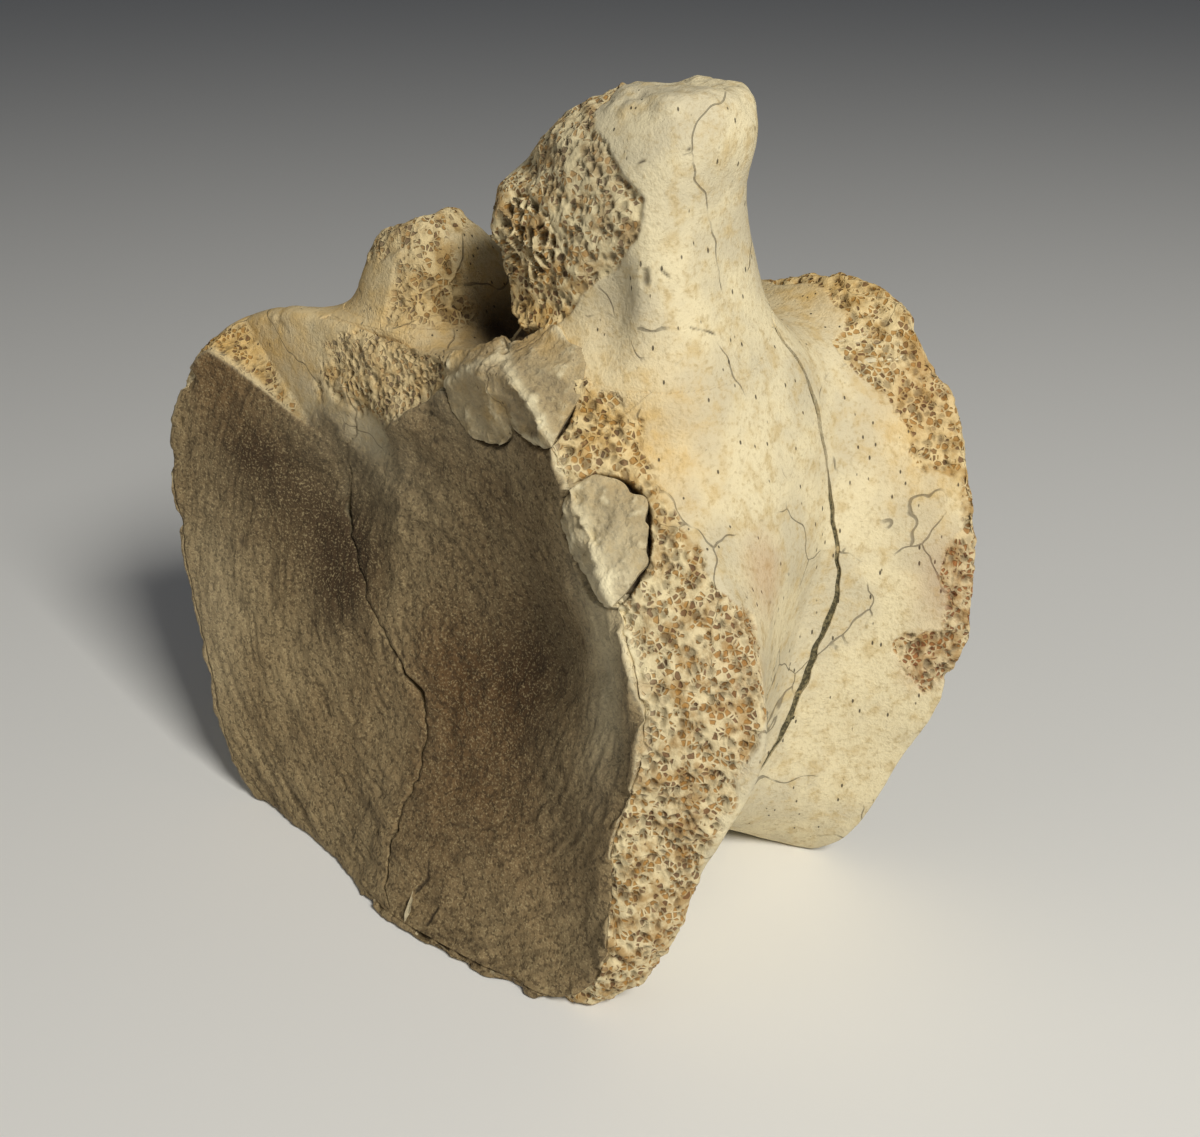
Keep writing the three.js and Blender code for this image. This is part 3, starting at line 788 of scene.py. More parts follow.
def skin_object(name, grid, marks, normals, apex, skirt, material, nodes, closed=False):
    """Writes a grid of points as one closed body.

    The grid is the skin. From its edge a skirt goes straight in by a given depth, and flat walls go on from
    there to an inner point. A closed grid joins its last column to its first and needs this at both ends.
    """
    _, rows, columns = grid.shape
    index = np.arange(rows * columns).reshape(rows, columns)
    after = np.roll(index, -1, axis=1) if closed else index[:, 1:]
    before = index if closed else index[:, :-1]
    quads = np.stack([before[:-1], after[:-1], after[1:], before[1:]], -1).reshape(-1, 4)
    points = grid.reshape(3, -1).T
    corner = points[quads]
    across = np.cross(corner[:, 2] - corner[:, 0], corner[:, 3] - corner[:, 1])
    flip = (across * normals.reshape(3, -1).T[quads[:, 0]]).sum() < 0
    walls, fans, added, count = [], [], [], len(points)
    for loop, inner in zip(edge_loop(rows, columns, closed), np.atleast_2d(apex)):
        lowered = points[loop] - normals.reshape(3, -1).T[loop] * skirt
        lowered[:, 2] = np.maximum(lowered[:, 2], 0)
        ring_at = count + np.arange(len(loop))
        walls.append(np.stack([np.roll(loop, -1), loop, ring_at, np.roll(ring_at, -1)], -1))
        fans.append(np.stack([np.roll(ring_at, -1), ring_at, np.full(len(loop), count + len(loop))], -1))
        added += [lowered, inner[None]]
        count += len(loop) + 1
    quads = np.concatenate([quads, *walls])
    fans = np.concatenate(fans)
    if flip:
        quads, fans = quads[:, ::-1], fans[:, ::-1]
    points = np.concatenate([points, *added])
    mesh = bpy.data.meshes.new(name)
    mesh.vertices.add(len(points))
    mesh.vertices.foreach_set("co", ((points - ORIGIN) * METRES).astype(np.float32).ravel())
    mesh.loops.add(quads.size + fans.size)
    mesh.loops.foreach_set("vertex_index", np.concatenate([quads.ravel(), fans.ravel()]).astype(np.int32))
    mesh.polygons.add(len(quads) + len(fans))
    starts = np.concatenate([np.arange(len(quads)) * 4, quads.size + np.arange(len(fans)) * 3])
    mesh.polygons.foreach_set("loop_start", starts.astype(np.int32))
    smooth = np.arange(len(starts)) < len(quads) - sum(map(len, walls))
    mesh.polygons.foreach_set("use_smooth", smooth)
    mesh.update(calc_edges=True)
    for label, values in zip(MARKS, marks):
        full = np.zeros(len(points), np.float32)
        full[: values.size] = values.ravel()
        mesh.attributes.new(label, "FLOAT", "POINT").data.foreach_set("value", full)
    mesh.materials.append(material)
    piece = bpy.data.objects.new(name, mesh)
    bpy.context.scene.collection.objects.link(piece)
    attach(piece, "root")
    if nodes:
        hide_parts(*nodes)
    return piece


def dress(points, lift, plate=False):
    """Moves points along the normal by the relief and a given lift, and gives their marks and normals too."""
    def work(p, up):
        normal = slope_of(p)
        rows = relief(p, plate)
        moved = p + normal * (rows[0] + up[0])
        moved[2] = np.maximum(moved[2], 0)
        return np.concatenate([moved, rows[1:], normal])
    out = by_blocks(work, points, np.broadcast_to(lift, (1, points.shape[1])))
    return out[:3], out[3:-3], out[-3:]


def rays(angle, swing):
    """Directions from the core: an angle about the spine's axis, and a swing from the near end to the far."""
    return np.array([np.sin(swing) * np.cos(angle), -np.cos(swing), np.sin(swing) * np.sin(angle)])


def capped_field(p):
    """The bone cut off at the joint under the pedicles."""
    return np.maximum(bone_field(p), p[2] - seat_z(p[1]))


def first_way_out(start, toward, step, furthest, field):
    """Distance along each ray to where it first leaves a field, found by steps and then by halving."""
    def march(p, d):
        reach = np.full(p.shape[1], step)
        going = np.arange(p.shape[1])
        for _ in range(int(furthest / step)):
            at = reach[going] + step
            still = field(p[:, going] + d[:, going] * at) < 0
            going = going[still]
            if not len(going):
                break
            reach[going] += step
        return halve(field, p, d, reach, reach + step, 10)[0][None]
    return by_blocks(march, start, toward)[0]


# Sectors of the spool's side begin and end here, in degrees from the right side, where it faces the floor.
FLOOR_ANGLE = -82

# Rows of the grids, from one end of a piece to the other, for steps of about a third of a millimetre.
FACE_ROWS = 460
FRONT_ROWS = 200
REAR_ROWS = 130
REAR_FACE_COUNT = 220
FILLING_ROWS = 7
FILLING_COLUMNS = 900

# The rear face reaches this share of the far rim, and the side folds over a little further in.
REAR_FACE_SHARE = 0.93
REAR_FOLD_SHARE = 0.91

# Half the width of the filling, which reaches a little under the lips of the crack.
FILLING_HALF = 0.9

# How far the edge of a loose plate wanders, and how often round its outline.
PLATE_RAG = 0.5
PLATE_RAG_TURN = 6.0

# Coarse fan of rays over the whole spool, from which each finer grid is placed.
FAN_ANGLES = np.linspace(0, TAU, 361)
FAN_SWINGS = np.linspace(0.02, math.pi - 0.02, 220)
FAN_STEP = 1.5
FAN_REACH = 110.0

# How far a finer grid looks for the surface either side of the fan, and how deep it dives under a pedicle.
SEARCH = 2.5
DIVE = 3.0

# How near the crack or the far end a rim may lie.
RIM_DEPTH = 8.0


class Profiles:
    """Where a coarse fan of rays meets the spool, and where its parts begin and end on each of its lines."""

    def __init__(self):
        angle, swing = np.meshgrid(FAN_ANGLES, FAN_SWINGS, indexing="ij")
        toward = rays(angle.ravel(), swing.ravel())
        start = np.broadcast_to(CORE[:, None], toward.shape)
        self.reach = first_way_out(start, toward, FAN_STEP, FAN_REACH, capped_field).reshape(angle.shape)
        self.rho = self.reach * np.sin(swing)
        self.y = CORE[1] - self.reach * np.cos(swing)
        x, z = self.rho * np.cos(angle), AXIS_Z + self.rho * np.sin(angle)
        legs = np.hypot(np.diff(self.rho, axis=1), np.diff(self.y, axis=1))
        self.length = np.concatenate([np.zeros((len(FAN_ANGLES), 1)), np.cumsum(legs, axis=1)], axis=1)
        self.behind_crack = self.y - crack_y(x, z)
        rim = np.where(self.behind_crack < -RIM_DEPTH, self.rho, 0).max(1)
        self.edge = np.minimum(read(EDGE, FAN_ANGLES / TAU * TURN_STEPS % TURN_STEPS), rim * 0.97)
        at_rear = np.where(self.y > rear_y(z) - RIM_DEPTH - 1, self.rho, 0)
        self.rear_rim = at_rear.max(1)
        self.past_rear_rim = np.arange(len(FAN_SWINGS)) > at_rear.argmax(1)[:, None]

    def crossing(self, value):
        """Length along each line at which a value first rises through zero."""
        above = value > 0
        k = np.maximum(above.argmax(1), 1)
        line = np.arange(len(value))
        low, high = value[line, k - 1], value[line, k]
        t = np.clip(-low / (high - low + 1e-12), 0, 1)
        return self.length[line, k - 1] * (1 - t) + self.length[line, k] * t

    def part(self, begin, end, angles, rows):
        """A grid of rays and reaches between two lengths, its rows evenly spaced along each line."""
        t = np.linspace(0, 1, rows)
        swing = np.empty((len(FAN_ANGLES), rows))
        reach = np.empty_like(swing)
        for line in range(len(FAN_ANGLES)):
            at = begin[line] + (end[line] - begin[line]) * t
            swing[line] = np.interp(at, self.length[line], FAN_SWINGS)
            reach[line] = np.interp(at, self.length[line], self.reach[line])
        place = angles / TAU % 1.0 * (len(FAN_ANGLES) - 1)
        i = place.astype(int)
        f = (place - i)[:, None]
        swing = swing[i] * (1 - f) + swing[i + 1] * f
        reach = reach[i] * (1 - f) + reach[i + 1] * f
        angle = np.broadcast_to(angles[:, None], swing.shape)
        return angle.T, swing.T, reach.T


def shell_grid(angle, swing, reach):
    """Points of the spool on a grid of rays. Where a pedicle stands on it the grid dives under the joint."""
    toward = rays(angle.ravel(), swing.ravel())
    guess = CORE[:, None] + toward * reach.ravel()
    points = settle(guess, toward, SEARCH)
    inside = by_blocks(lambda p: bone_field(p)[None], guess + toward * (SEARCH + 0.1))[0] < 0
    above = points[2] > seat_z(points[1]) + 0.6
    sunk = inside | above
    points = np.where(sunk, guess - toward * DIVE, points)
    return points, sunk


def make_shell(name, profiles, begin, end, degrees, columns, rows, dip, material, nodes):
    """One sector of the spool's side, from one length to another along its lines."""
    angles = np.radians(np.linspace(*degrees, columns))
    angle, swing, reach = profiles.part(begin, end, angles, rows)
    points, sunk = shell_grid(angle, swing, reach)
    t = np.repeat(np.linspace(0, 1, rows), columns)
    lift = -dip * (1 - ease(t * rows / 4)) - 2.0 * sunk
    points, marks, normals = dress(points, lift)
    shape = (rows, columns)
    skin_object(name, points.reshape(3, *shape), marks, normals, CORE, 3.0, material, nodes)


def split_x(z):
    """Where the main crack of the face runs at each height, with a small jagged wander."""
    route = np.asarray(SPLIT, float)
    order = np.argsort(route[:, 1])
    x = np.interp(z, route[order, 1], route[order, 0])
    p = np.array([np.zeros_like(z), np.zeros_like(z), z])
    return x + 0.55 * noise(p, 2.2, seed=71) + 0.25 * noise(p, 0.9, seed=72)


def gap_width(z):
    """Half the width of the main crack: wider at the notch and at a chip, shut above the notch."""
    p = np.array([np.zeros_like(z), np.zeros_like(z), z])
    wear = 1 + 0.6 * noise(p, 3.0, seed=73)
    base = MEASURES["face_crack"] * 0.5 * wear
    chips = 0.7 * np.exp(-((z - 62) / 2.5) ** 2) + 0.9 * np.exp(-((z - 37.0) / 1.5) ** 2)
    return (base + chips) * ease((70 - z) / 6)


def face_lobe(profiles, side, rows, columns):
    """A half of the dished face, between the main crack and its outer edge on one side (-1 left, 1 right).

    Each row joins a point of the crack to the point of the edge at the same share of its length.
    """
    z_line = np.linspace(SPLIT[0][1] + 0.5, SPLIT[-1][1], 400)
    x_line = split_x(z_line)
    turns = np.arctan2(z_line - AXIS_Z, x_line)
    rho = np.hypot(x_line, z_line - AXIS_Z)
    edge = np.interp(turns % TAU, FAN_ANGLES, profiles.edge)
    inside = rho < edge
    low, high = z_line[inside][0], z_line[inside][-1]
    z_crack = np.linspace(low, high, rows)
    x_crack = split_x(z_crack) + side * gap_width(z_crack)
    bottom = math.atan2(z_crack[0] - AXIS_Z, x_crack[0])
    top = math.atan2(z_crack[-1] - AXIS_Z, x_crack[-1])
    if side > 0:
        span = np.linspace(bottom, top, 800)
    else:
        span = np.linspace(bottom, top - TAU, 800)
    radius = np.interp(span % TAU, FAN_ANGLES, profiles.edge)
    ex, ez = radius * np.cos(span), AXIS_Z + radius * np.sin(span)
    along = np.concatenate([[0], np.cumsum(np.hypot(np.diff(ex), np.diff(ez)))])
    t = np.linspace(0, 1, rows) * along[-1]
    ex, ez = np.interp(t, along, ex), np.interp(t, along, ez)
    across = np.linspace(0, 1, columns)[None]
    x = x_crack[:, None] * (1 - across) + ex[:, None] * across
    z = z_crack[:, None] * (1 - across) + ez[:, None] * across
    return x, z


def make_lobe(name, profiles, side, rows, columns, material):
    """One lobe of the dished face with its crust: its grid put on the surface along lines from the core."""
    x, z = face_lobe(profiles, side, rows, columns)
    flat_x, flat_z = x.ravel(), z.ravel()
    points = onto_bone(flat_x, front_y(flat_x, flat_z) + front_depth(flat_x, flat_z), flat_z, 3.0)
    edge = np.tile(np.linspace(0, 1, columns), rows)
    lift = 0.3 * ease((edge - 0.85) / 0.15) * (flat_x > 0) - 0.35 * ease((0.02 - edge) / 0.02)
    points, marks, normals = dress(points, lift)
    skin_object(name, points.reshape(3, rows, columns), marks, normals, CORE, 4.0, material,
                ["centrum_front"])


def disc(count):
    """A square grid bent into a round one: share of the radius and angle, even all over."""
    a, b = np.meshgrid(np.linspace(-1, 1, count), np.linspace(-1, 1, count))
    wide = np.abs(a) > np.abs(b)
    share = np.where(wide, a, b)
    other = np.where(wide, b, a)
    with np.errstate(divide="ignore", invalid="ignore"):
        turn = np.where(share == 0, 0, other / share) * math.pi / 4
    angle = np.where(wide, turn, math.pi / 2 - turn)
    return np.abs(share), np.where(share < 0, angle + math.pi, angle)


def make_rear_face(profiles, count, material):
    """The dished far end: a round grid drawn out to its rim and put on the surface."""
    away, turn = disc(count)
    radius = np.interp(turn % TAU, FAN_ANGLES, profiles.rear_rim * REAR_FACE_SHARE) * away
    x, z = (radius * np.cos(turn)).ravel(), (AXIS_Z + radius * np.sin(turn)).ravel()
    hollow = rear_hollow(np.hypot(x, z - AXIS_Z), read(FAR, turn_of(x, z)) * REAR_EDGE)
    points = onto_bone(x, rear_y(z) - hollow, z, 3.0)
    points, marks, normals = dress(points, -0.05)
    skin_object("rear_face", points.reshape(3, count, count), marks, normals, CORE, 3.0, material,
                ["centrum_rear"])


def make_pedicle(name, node, pedicle, tables, rows, columns, material):
    """A pedicle as a capsule: rays from its axis, level up its height and folding up over its broken top."""
    def axis(z):
        left, right, front, back = limits_at(pedicle, tables, z)
        return np.array([(left + right) / 2, (front + back) / 2, z])
    height, slope_x, slope_y = pedicle["top"]
    middle = axis(np.array([110.0]))[:, 0]
    top = height + slope_x * middle[0] + slope_y * middle[1]
    foot, shoulder = SEAT_Z - 3.0, top - 9.0
    fold = 0.28
    t = np.linspace(0, 1, rows)[:, None]
    turn = np.linspace(0, TAU, columns, endpoint=False)[None]
    tilt = np.broadcast_to(np.clip(1 - t / fold, 0.004, 1) * math.pi / 2, (rows, columns))
    tilt = np.where(t > fold, 0, tilt)
    z = shoulder + (foot - shoulder) * np.clip((t - fold) / (1 - fold), 0, 1)
    z = np.broadcast_to(z, (rows, columns))
    turn = np.broadcast_to(turn, (rows, columns))
    start = axis(z.ravel())
    toward = np.array([np.cos(turn) * np.cos(tilt), np.sin(turn) * np.cos(tilt), np.sin(tilt)]).reshape(3, -1)
    reach = first_way_out(start, toward, 1.0, 40, bone_field)
    points = start + toward * reach
    above = points[2] - seat_z(points[1])
    sink = 0.12 * ease(1.2 - above) + 1.2 * ease((-0.4 - above) / 2.0)
    points, marks, normals = dress(points, -sink)
    ends = [points.reshape(3, rows, columns)[:, 0].mean(1), [middle[0], middle[1], foot - 2]]
    skin_object(name, points.reshape(3, rows, columns), marks, normals, np.array(ends), 0.5, material,
                [node], closed=True)


def make_plate(name, node, outline, count, material):
    """A loose plate of the rim: a disc drawn to its outline, domed a little, with walls sunk in its bed."""
    away, turn = (a.ravel() for a in disc(count))
    middle = np.mean(outline, axis=0)
    _, reach = outline_reach(outline, middle[0] + np.cos(turn), middle[1] + np.sin(turn))
    round_it = np.array([np.cos(turn), np.sin(turn), 0 * turn]) * PLATE_RAG_TURN
    reach = (reach + PLATE_RAG * noise(round_it, 1.3, seed=93)) * away
    x = middle[0] + reach * np.cos(turn)
    z = middle[1] + reach * np.sin(turn)
    points = onto_bone(x, front_y(x, z) + front_depth(x, z), z, 5.0)
    rim = ease((away - 0.80) / 0.2)
    p = np.array([x, 0 * x, z])
    lift = MEASURES["plate_lift"] + 0.35 * layered(p, 4.0, 3, seed=95) - 0.45 * rim
    points, marks, normals = dress(points, lift, plate=True)
    inner = points.mean(1) - normals.mean(1) * 3.5
    skin_object(name, points.reshape(3, count, count), marks, normals, inner, 2.0, material,
                [node])


def make_filling(profiles, rows, columns, material):
    """Dark filling of the crack through the centrum: a closed strip round the spool, just below its skin."""
    angles = np.radians(np.linspace(FLOOR_ANGLE, FLOOR_ANGLE + 360, columns, endpoint=False))
    begin = profiles.crossing(profiles.behind_crack + FILLING_HALF)
    end = profiles.crossing(profiles.behind_crack - FILLING_HALF)
    angle, swing, reach = profiles.part(begin, end, angles, rows)
    points, sunk = shell_grid(angle, swing, reach)
    lift = -0.3 + 0.3 * layered(points, 3.0, 2, seed=97) - 2.0 * sunk
    normal = by_blocks(slope_of, points)
    points = points + normal * lift
    points[2] = np.maximum(points[2], 0.3)
    marks = np.zeros((len(MARKS), points.shape[1]))
    inner = CORE + np.array([[0, -0.5, 0], [0, 0.5, 0]])
    skin_object("crack_filling", points.reshape(3, rows, columns), marks, normal, inner, 1.2, material,
                [], closed=True)


def linear(code):
    """An sRGB hex colour as linear red, green, blue and alpha."""
    parts = [int(code[i:i + 2], 16) / 255 for i in (0, 2, 4)]
    return (*[c / 12.92 if c <= 0.04045 else ((c + 0.055) / 1.055) ** 2.4 for c in parts], 1.0)


def add(tree, kind, settings=None, inputs=None, out=0):
    """Adds a node, sets each input to a value or joins it to a socket, and gives back one of its outputs."""
    made = tree.nodes.new(kind)
    for key, value in (settings or {}).items():
        setattr(made, key, value)
    for key, value in (inputs or {}).items():
        if isinstance(value, bpy.types.NodeSocket):
            tree.links.new(value, made.inputs[key])
        else:
            made.inputs[key].default_value = value
    return made.outputs[out]


def per_mm(size):
    """Scale of a pattern whose features are this many millimetres across."""
    return 1.0 / (size * METRES)


# Settings shared by many nodes, and the numbers of the inputs and outputs that they use.
COLOUR = {"data_type": "RGBA"}
SMOOTH = {"interpolation_type": "SMOOTHSTEP"}
EDGES = {"feature": "DISTANCE_TO_EDGE"}
TIMES = {"operation": "MULTIPLY"}
CLAMPED = {"operation": "MULTIPLY", "use_clamp": True}
MORE = {"operation": "MULTIPLY_ADD"}
VALUE, FROM, TO, LEAST, MOST = range(5)
SHARE, LOW, HIGH, MIXED = 0, 6, 7, 2
MIX, RANGE, NOISE, MATH = "ShaderNodeMix", "ShaderNodeMapRange", "ShaderNodeTexNoise", "ShaderNodeMath"
CELLS, VECTOR, BUMP = "ShaderNodeTexVoronoi", "ShaderNodeVectorMath", "ShaderNodeBump"

# Noises of the bone's finishes: features in millimetres, detail and roughness.
NOISES = {
    "grit": (0.4, 2.0, 0.6),
    "grain": (0.8, 3.0, 0.6),
    "mottle": (3.2, 4.0, 0.6),
    "cloud": (14, 3.0, 0.55),
}


def prick_holes(tree, place, cloud):
    """Pin-prick pores 0.3 mm wide, about 1.3 mm apart, drawn out along the height, denser in some clouds."""
    long = add(tree, "ShaderNodeMapping", None, {"Vector": place, "Scale": (1, 1, 0.4)})
    prick = add(tree, CELLS, None, {"Vector": long, "Scale": per_mm(1.3)}, "Distance")
    lot = add(tree, CELLS, None, {"Vector": long, "Scale": per_mm(1.3)}, "Color")
    hole = add(tree, RANGE, SMOOTH, {VALUE: prick, FROM: 0.17, TO: 0.09})
    patch = add(tree, RANGE, SMOOTH, {VALUE: cloud, FROM: 0.42, TO: 0.6, LEAST: 0.66, MOST: 0.46})
    chosen = add(tree, MATH, {"operation": "GREATER_THAN"}, {0: lot, 1: patch})
    return add(tree, MATH, TIMES, {0: hole, 1: chosen})


def hairlines(tree, place, cloud):
    """Hairline cracks 0.2 mm wide between fields of about 24 mm, in some clouds only."""
    warp = add(tree, NOISE, None, {"Vector": place, "Scale": per_mm(9), "Detail": 2.0}, "Color")
    warp = add(tree, VECTOR, {"operation": "SCALE"}, {0: warp, "Scale": 7 * METRES})
    bent = add(tree, VECTOR, {"operation": "ADD"}, {0: place, 1: warp})
    seam = add(tree, CELLS, EDGES, {"Vector": bent, "Scale": per_mm(24)}, "Distance")
    seam = add(tree, RANGE, SMOOTH, {VALUE: seam, FROM: 0.0075, TO: 0.0025})
    part = add(tree, RANGE, SMOOTH, {VALUE: cloud, FROM: 0.47, TO: 0.54})
    return add(tree, MATH, TIMES, {0: seam, 1: part})


def cortex_colour(tree, tones, mark, look, hole, seam):
    """Cortex: cream to grey-cream in clouds, tan where it is worn, ochre where iron has stained it."""
    warm = add(tree, MATH, TIMES, {0: mark["warm"], 1: look["mottle"]})
    colour = tones.cortex
    for share, tone in (
            (add(tree, RANGE, SMOOTH, {VALUE: look["cloud"], FROM: 0.38, TO: 0.62}), tones.cortex_grey),
            (add(tree, RANGE, SMOOTH, {VALUE: look["mottle"], FROM: 0.46, TO: 0.72, MOST: 0.75}),
             tones.cortex_tan),
            (add(tree, MATH, CLAMPED, {0: warm, 1: 1.7}), tones.ochre),
            (add(tree, RANGE, SMOOTH, {VALUE: look["grain"], FROM: 0.50, TO: 0.72, MOST: 0.38}),
             tones.tan_dark),
            (add(tree, MATH, TIMES, {0: hole, 1: 0.85}), tones.pit),
            (add(tree, MATH, TIMES, {0: seam, 1: 0.55}), tones.pit)):
        colour = add(tree, MIX, COLOUR, {SHARE: share, LOW: colour, HIGH: tone}, MIXED)
    return colour


def spongy_colour(tree, tones, mark, look, place):
    """Spongy bone: cream walls round pores of the set size, stained brown, ochre or rust cell by cell."""
    scale = 1.0 / bpy.context.scene.fossil_sizes.pore
    wall = add(tree, CELLS, EDGES, {"Vector": place, "Scale": scale}, "Distance")
    kind = add(tree, CELLS, None, {"Vector": place, "Scale": scale}, "Color")
    inside = add(tree, RANGE, SMOOTH, {VALUE: wall, FROM: 0.08, TO: 0.20})
    filled = add(tree, RANGE, SMOOTH, {VALUE: kind, FROM: 0.40, TO: 0.48})
    inside = add(tree, MATH, TIMES, {0: inside, 1: filled})
    stain = tones.brown
    for share, tone in (
            (add(tree, RANGE, SMOOTH, {VALUE: kind, FROM: 0.56, TO: 0.62}), tones.ochre_deep),
            (add(tree, RANGE, SMOOTH, {VALUE: mark["rust"], FROM: 0.1, TO: 0.7, MOST: 0.85}), tones.rust)):
        stain = add(tree, MIX, COLOUR, {SHARE: share, LOW: stain, HIGH: tone}, MIXED)
    colour = tones.wall
    for share, tone in (
            (add(tree, RANGE, SMOOTH, {VALUE: look["mottle"], FROM: 0.42, TO: 0.64}), tones.wall_tan),
            (add(tree, MATH, TIMES, {0: mark["warm"], 1: 0.75}), tones.ochre),
            (add(tree, MATH, TIMES, {0: mark["rust"], 1: 0.35}), tones.rust),
            (add(tree, MATH, TIMES, {0: inside, 1: 0.85}), stain),
            (add(tree, MATH, TIMES, {0: mark["pore"], 1: 0.55}), tones.pit)):
        colour = add(tree, MIX, COLOUR, {SHARE: share, LOW: colour, HIGH: tone}, MIXED)
    return colour, inside


def crust_colour(tree, tones, mark, look):
    """Crust of the face: grey-brown, with umber painted shade in its hollows, speckled with pale and dark
    grains.
    """
    colour = tones.crust
    for share, tone in (
            (add(tree, RANGE, SMOOTH, {VALUE: look["cloud"], FROM: 0.36, TO: 0.64, MOST: 0.55}),
             tones.crust_brown),
            # Painted shade: the crust turns umber where the shade mark darkens the face's hollows.
            (add(tree, MATH, CLAMPED, {0: mark["shade"], 1: 0.9}), tones.umber),
            (add(tree, MATH, TIMES, {0: mark["warm"], 1: 0.45}), tones.brown_warm),
            (add(tree, RANGE, SMOOTH, {VALUE: look["grit"], FROM: 0.52, TO: 0.68, MOST: 0.5}), tones.speck),
            (add(tree, RANGE, SMOOTH, {VALUE: look["grain"], FROM: 0.50, TO: 0.36, MOST: 0.6}),
             tones.umber_dark),
            (add(tree, RANGE, SMOOTH, {VALUE: mark["fibre"], FROM: 0.5, TO: 0.15, MOST: 0.5}),
             tones.umber_dark)):
        colour = add(tree, MIX, COLOUR, {SHARE: share, LOW: colour, HIGH: tone}, MIXED)
    return colour


def bone_material(name, roughness, bump_mm):
    """Fossil bone: chalky mineralised cortex, its broken spongy inside, and the crust of the dished face."""
    tones = bpy.context.scene.fossil_tones
    material = bpy.data.materials.new(name)
    material.use_nodes = True
    tree = material.node_tree
    shader = tree.nodes["Principled BSDF"]
    place = add(tree, "ShaderNodeTexCoord", out="Object")
    mark = {label: add(tree, "ShaderNodeAttribute", {"attribute_name": label}, out="Fac") for label in MARKS}
    look = {label: add(tree, NOISE, None, {"Vector": place, "Scale": per_mm(size), "Detail": detail,
                                           "Roughness": rough})
            for label, (size, detail, rough) in NOISES.items()}
    hole, seam = prick_holes(tree, place, look["cloud"]), hairlines(tree, place, look["cloud"])
    cortex = cortex_colour(tree, tones, mark, look, hole, seam)
    spongy, inside = spongy_colour(tree, tones, mark, look, place)
    crust = crust_colour(tree, tones, mark, look)
    # The three laid over each other, then grey film, pale worn lips and patches with painted light, painted
    # shade in recesses, and fine cracks.
    bare = add(tree, MATH, {"operation": "SUBTRACT", "use_clamp": True}, {0: 1.0, 1: mark["crust"]})
    # Painted shade: the shade mark darkens cortex and spongy bone in the canal, the recesses and the cracks
    # round the plates.
    painted_shade = add(tree, MATH, TIMES, {0: mark["shade"], 1: bare})
    colour = cortex
    for share, tone in (
            (mark["crust"], crust),
            (add(tree, RANGE, SMOOTH, {VALUE: mark["rust"], FROM: 0.15, TO: 0.9, MOST: 0.4}), tones.rust),
            (mark["sponge"], spongy),
            (add(tree, MATH, CLAMPED, {0: mark["grey"], 1: 0.7}), tones.grey),
            (add(tree, MATH, CLAMPED, {0: mark["pale"], 1: 0.8}), tones.lip),
            (add(tree, MATH, CLAMPED, {0: painted_shade, 1: 0.9}), tones.umber_dark),
            (add(tree, MATH, TIMES, {0: mark["line"], 1: 0.85}), tones.pit)):
        colour = add(tree, MIX, COLOUR, {SHARE: share, LOW: colour, HIGH: tone}, MIXED)
    tree.links.new(colour, shader.inputs["Base Color"])
    shader.inputs["Roughness"].default_value = roughness
    shader.inputs["Specular IOR Level"].default_value = 0.3
    # Bump: grit and grains everywhere, pores in the spongy inside, pricks and hairlines in the cortex.
    height = add(tree, MATH, MORE, {0: look["grit"], 1: 0.5, 2: look["grain"]})
    sunk = add(tree, MATH, TIMES, {0: inside, 1: mark["sponge"]})
    height = add(tree, MATH, MORE, {0: sunk, 1: -1.0, 2: height})
    holes = add(tree, MATH, {"operation": "MAXIMUM"}, {0: hole, 1: seam})
    holes = add(tree, MATH, TIMES, {0: holes, 1: bare})
    height = add(tree, MATH, MORE, {0: holes, 1: -0.8, 2: height})
    bump = add(tree, BUMP, None, {"Height": height, "Strength": 0.9, "Distance": bump_mm * METRES})
    tree.links.new(bump, shader.inputs["Normal"])
    return material


def filling_material():
    """Mineral filling of the crack: a dull dark olive paste with sandy grains and pale crumbs."""
    tones = bpy.context.scene.fossil_tones
    material = bpy.data.materials.new("sandy_crack_filling")
    material.use_nodes = True
    tree = material.node_tree
    shader = tree.nodes["Principled BSDF"]
    place = add(tree, "ShaderNodeTexCoord", out="Object")
    grain = add(tree, NOISE, None, {"Vector": place, "Scale": per_mm(0.6), "Detail": 3.0, "Roughness": 0.6})
    lump = add(tree, NOISE, None, {"Vector": place, "Scale": per_mm(2.5), "Detail": 2.0, "Roughness": 0.6})
    colour = tones.filling
    for share, tone in (
            (add(tree, RANGE, SMOOTH, {VALUE: grain, FROM: 0.45, TO: 0.62}), tones.filling_light),
            (add(tree, RANGE, SMOOTH, {VALUE: lump, FROM: 0.6, TO: 0.7, MOST: 0.7}), tones.cortex_tan)):
        colour = add(tree, MIX, COLOUR, {SHARE: share, LOW: colour, HIGH: tone}, MIXED)
    tree.links.new(colour, shader.inputs["Base Color"])
    shader.inputs["Roughness"].default_value = 0.85
    shader.inputs["Specular IOR Level"].default_value = 0.25
    bump = add(tree, BUMP, None, {"Height": grain, "Strength": 0.9, "Distance": 0.3 * METRES})
    tree.links.new(bump, shader.inputs["Normal"])
    return material


# What the pieces share: the fan of profiles and the finishes, made once when the first piece asks for them.
SHARED = {}


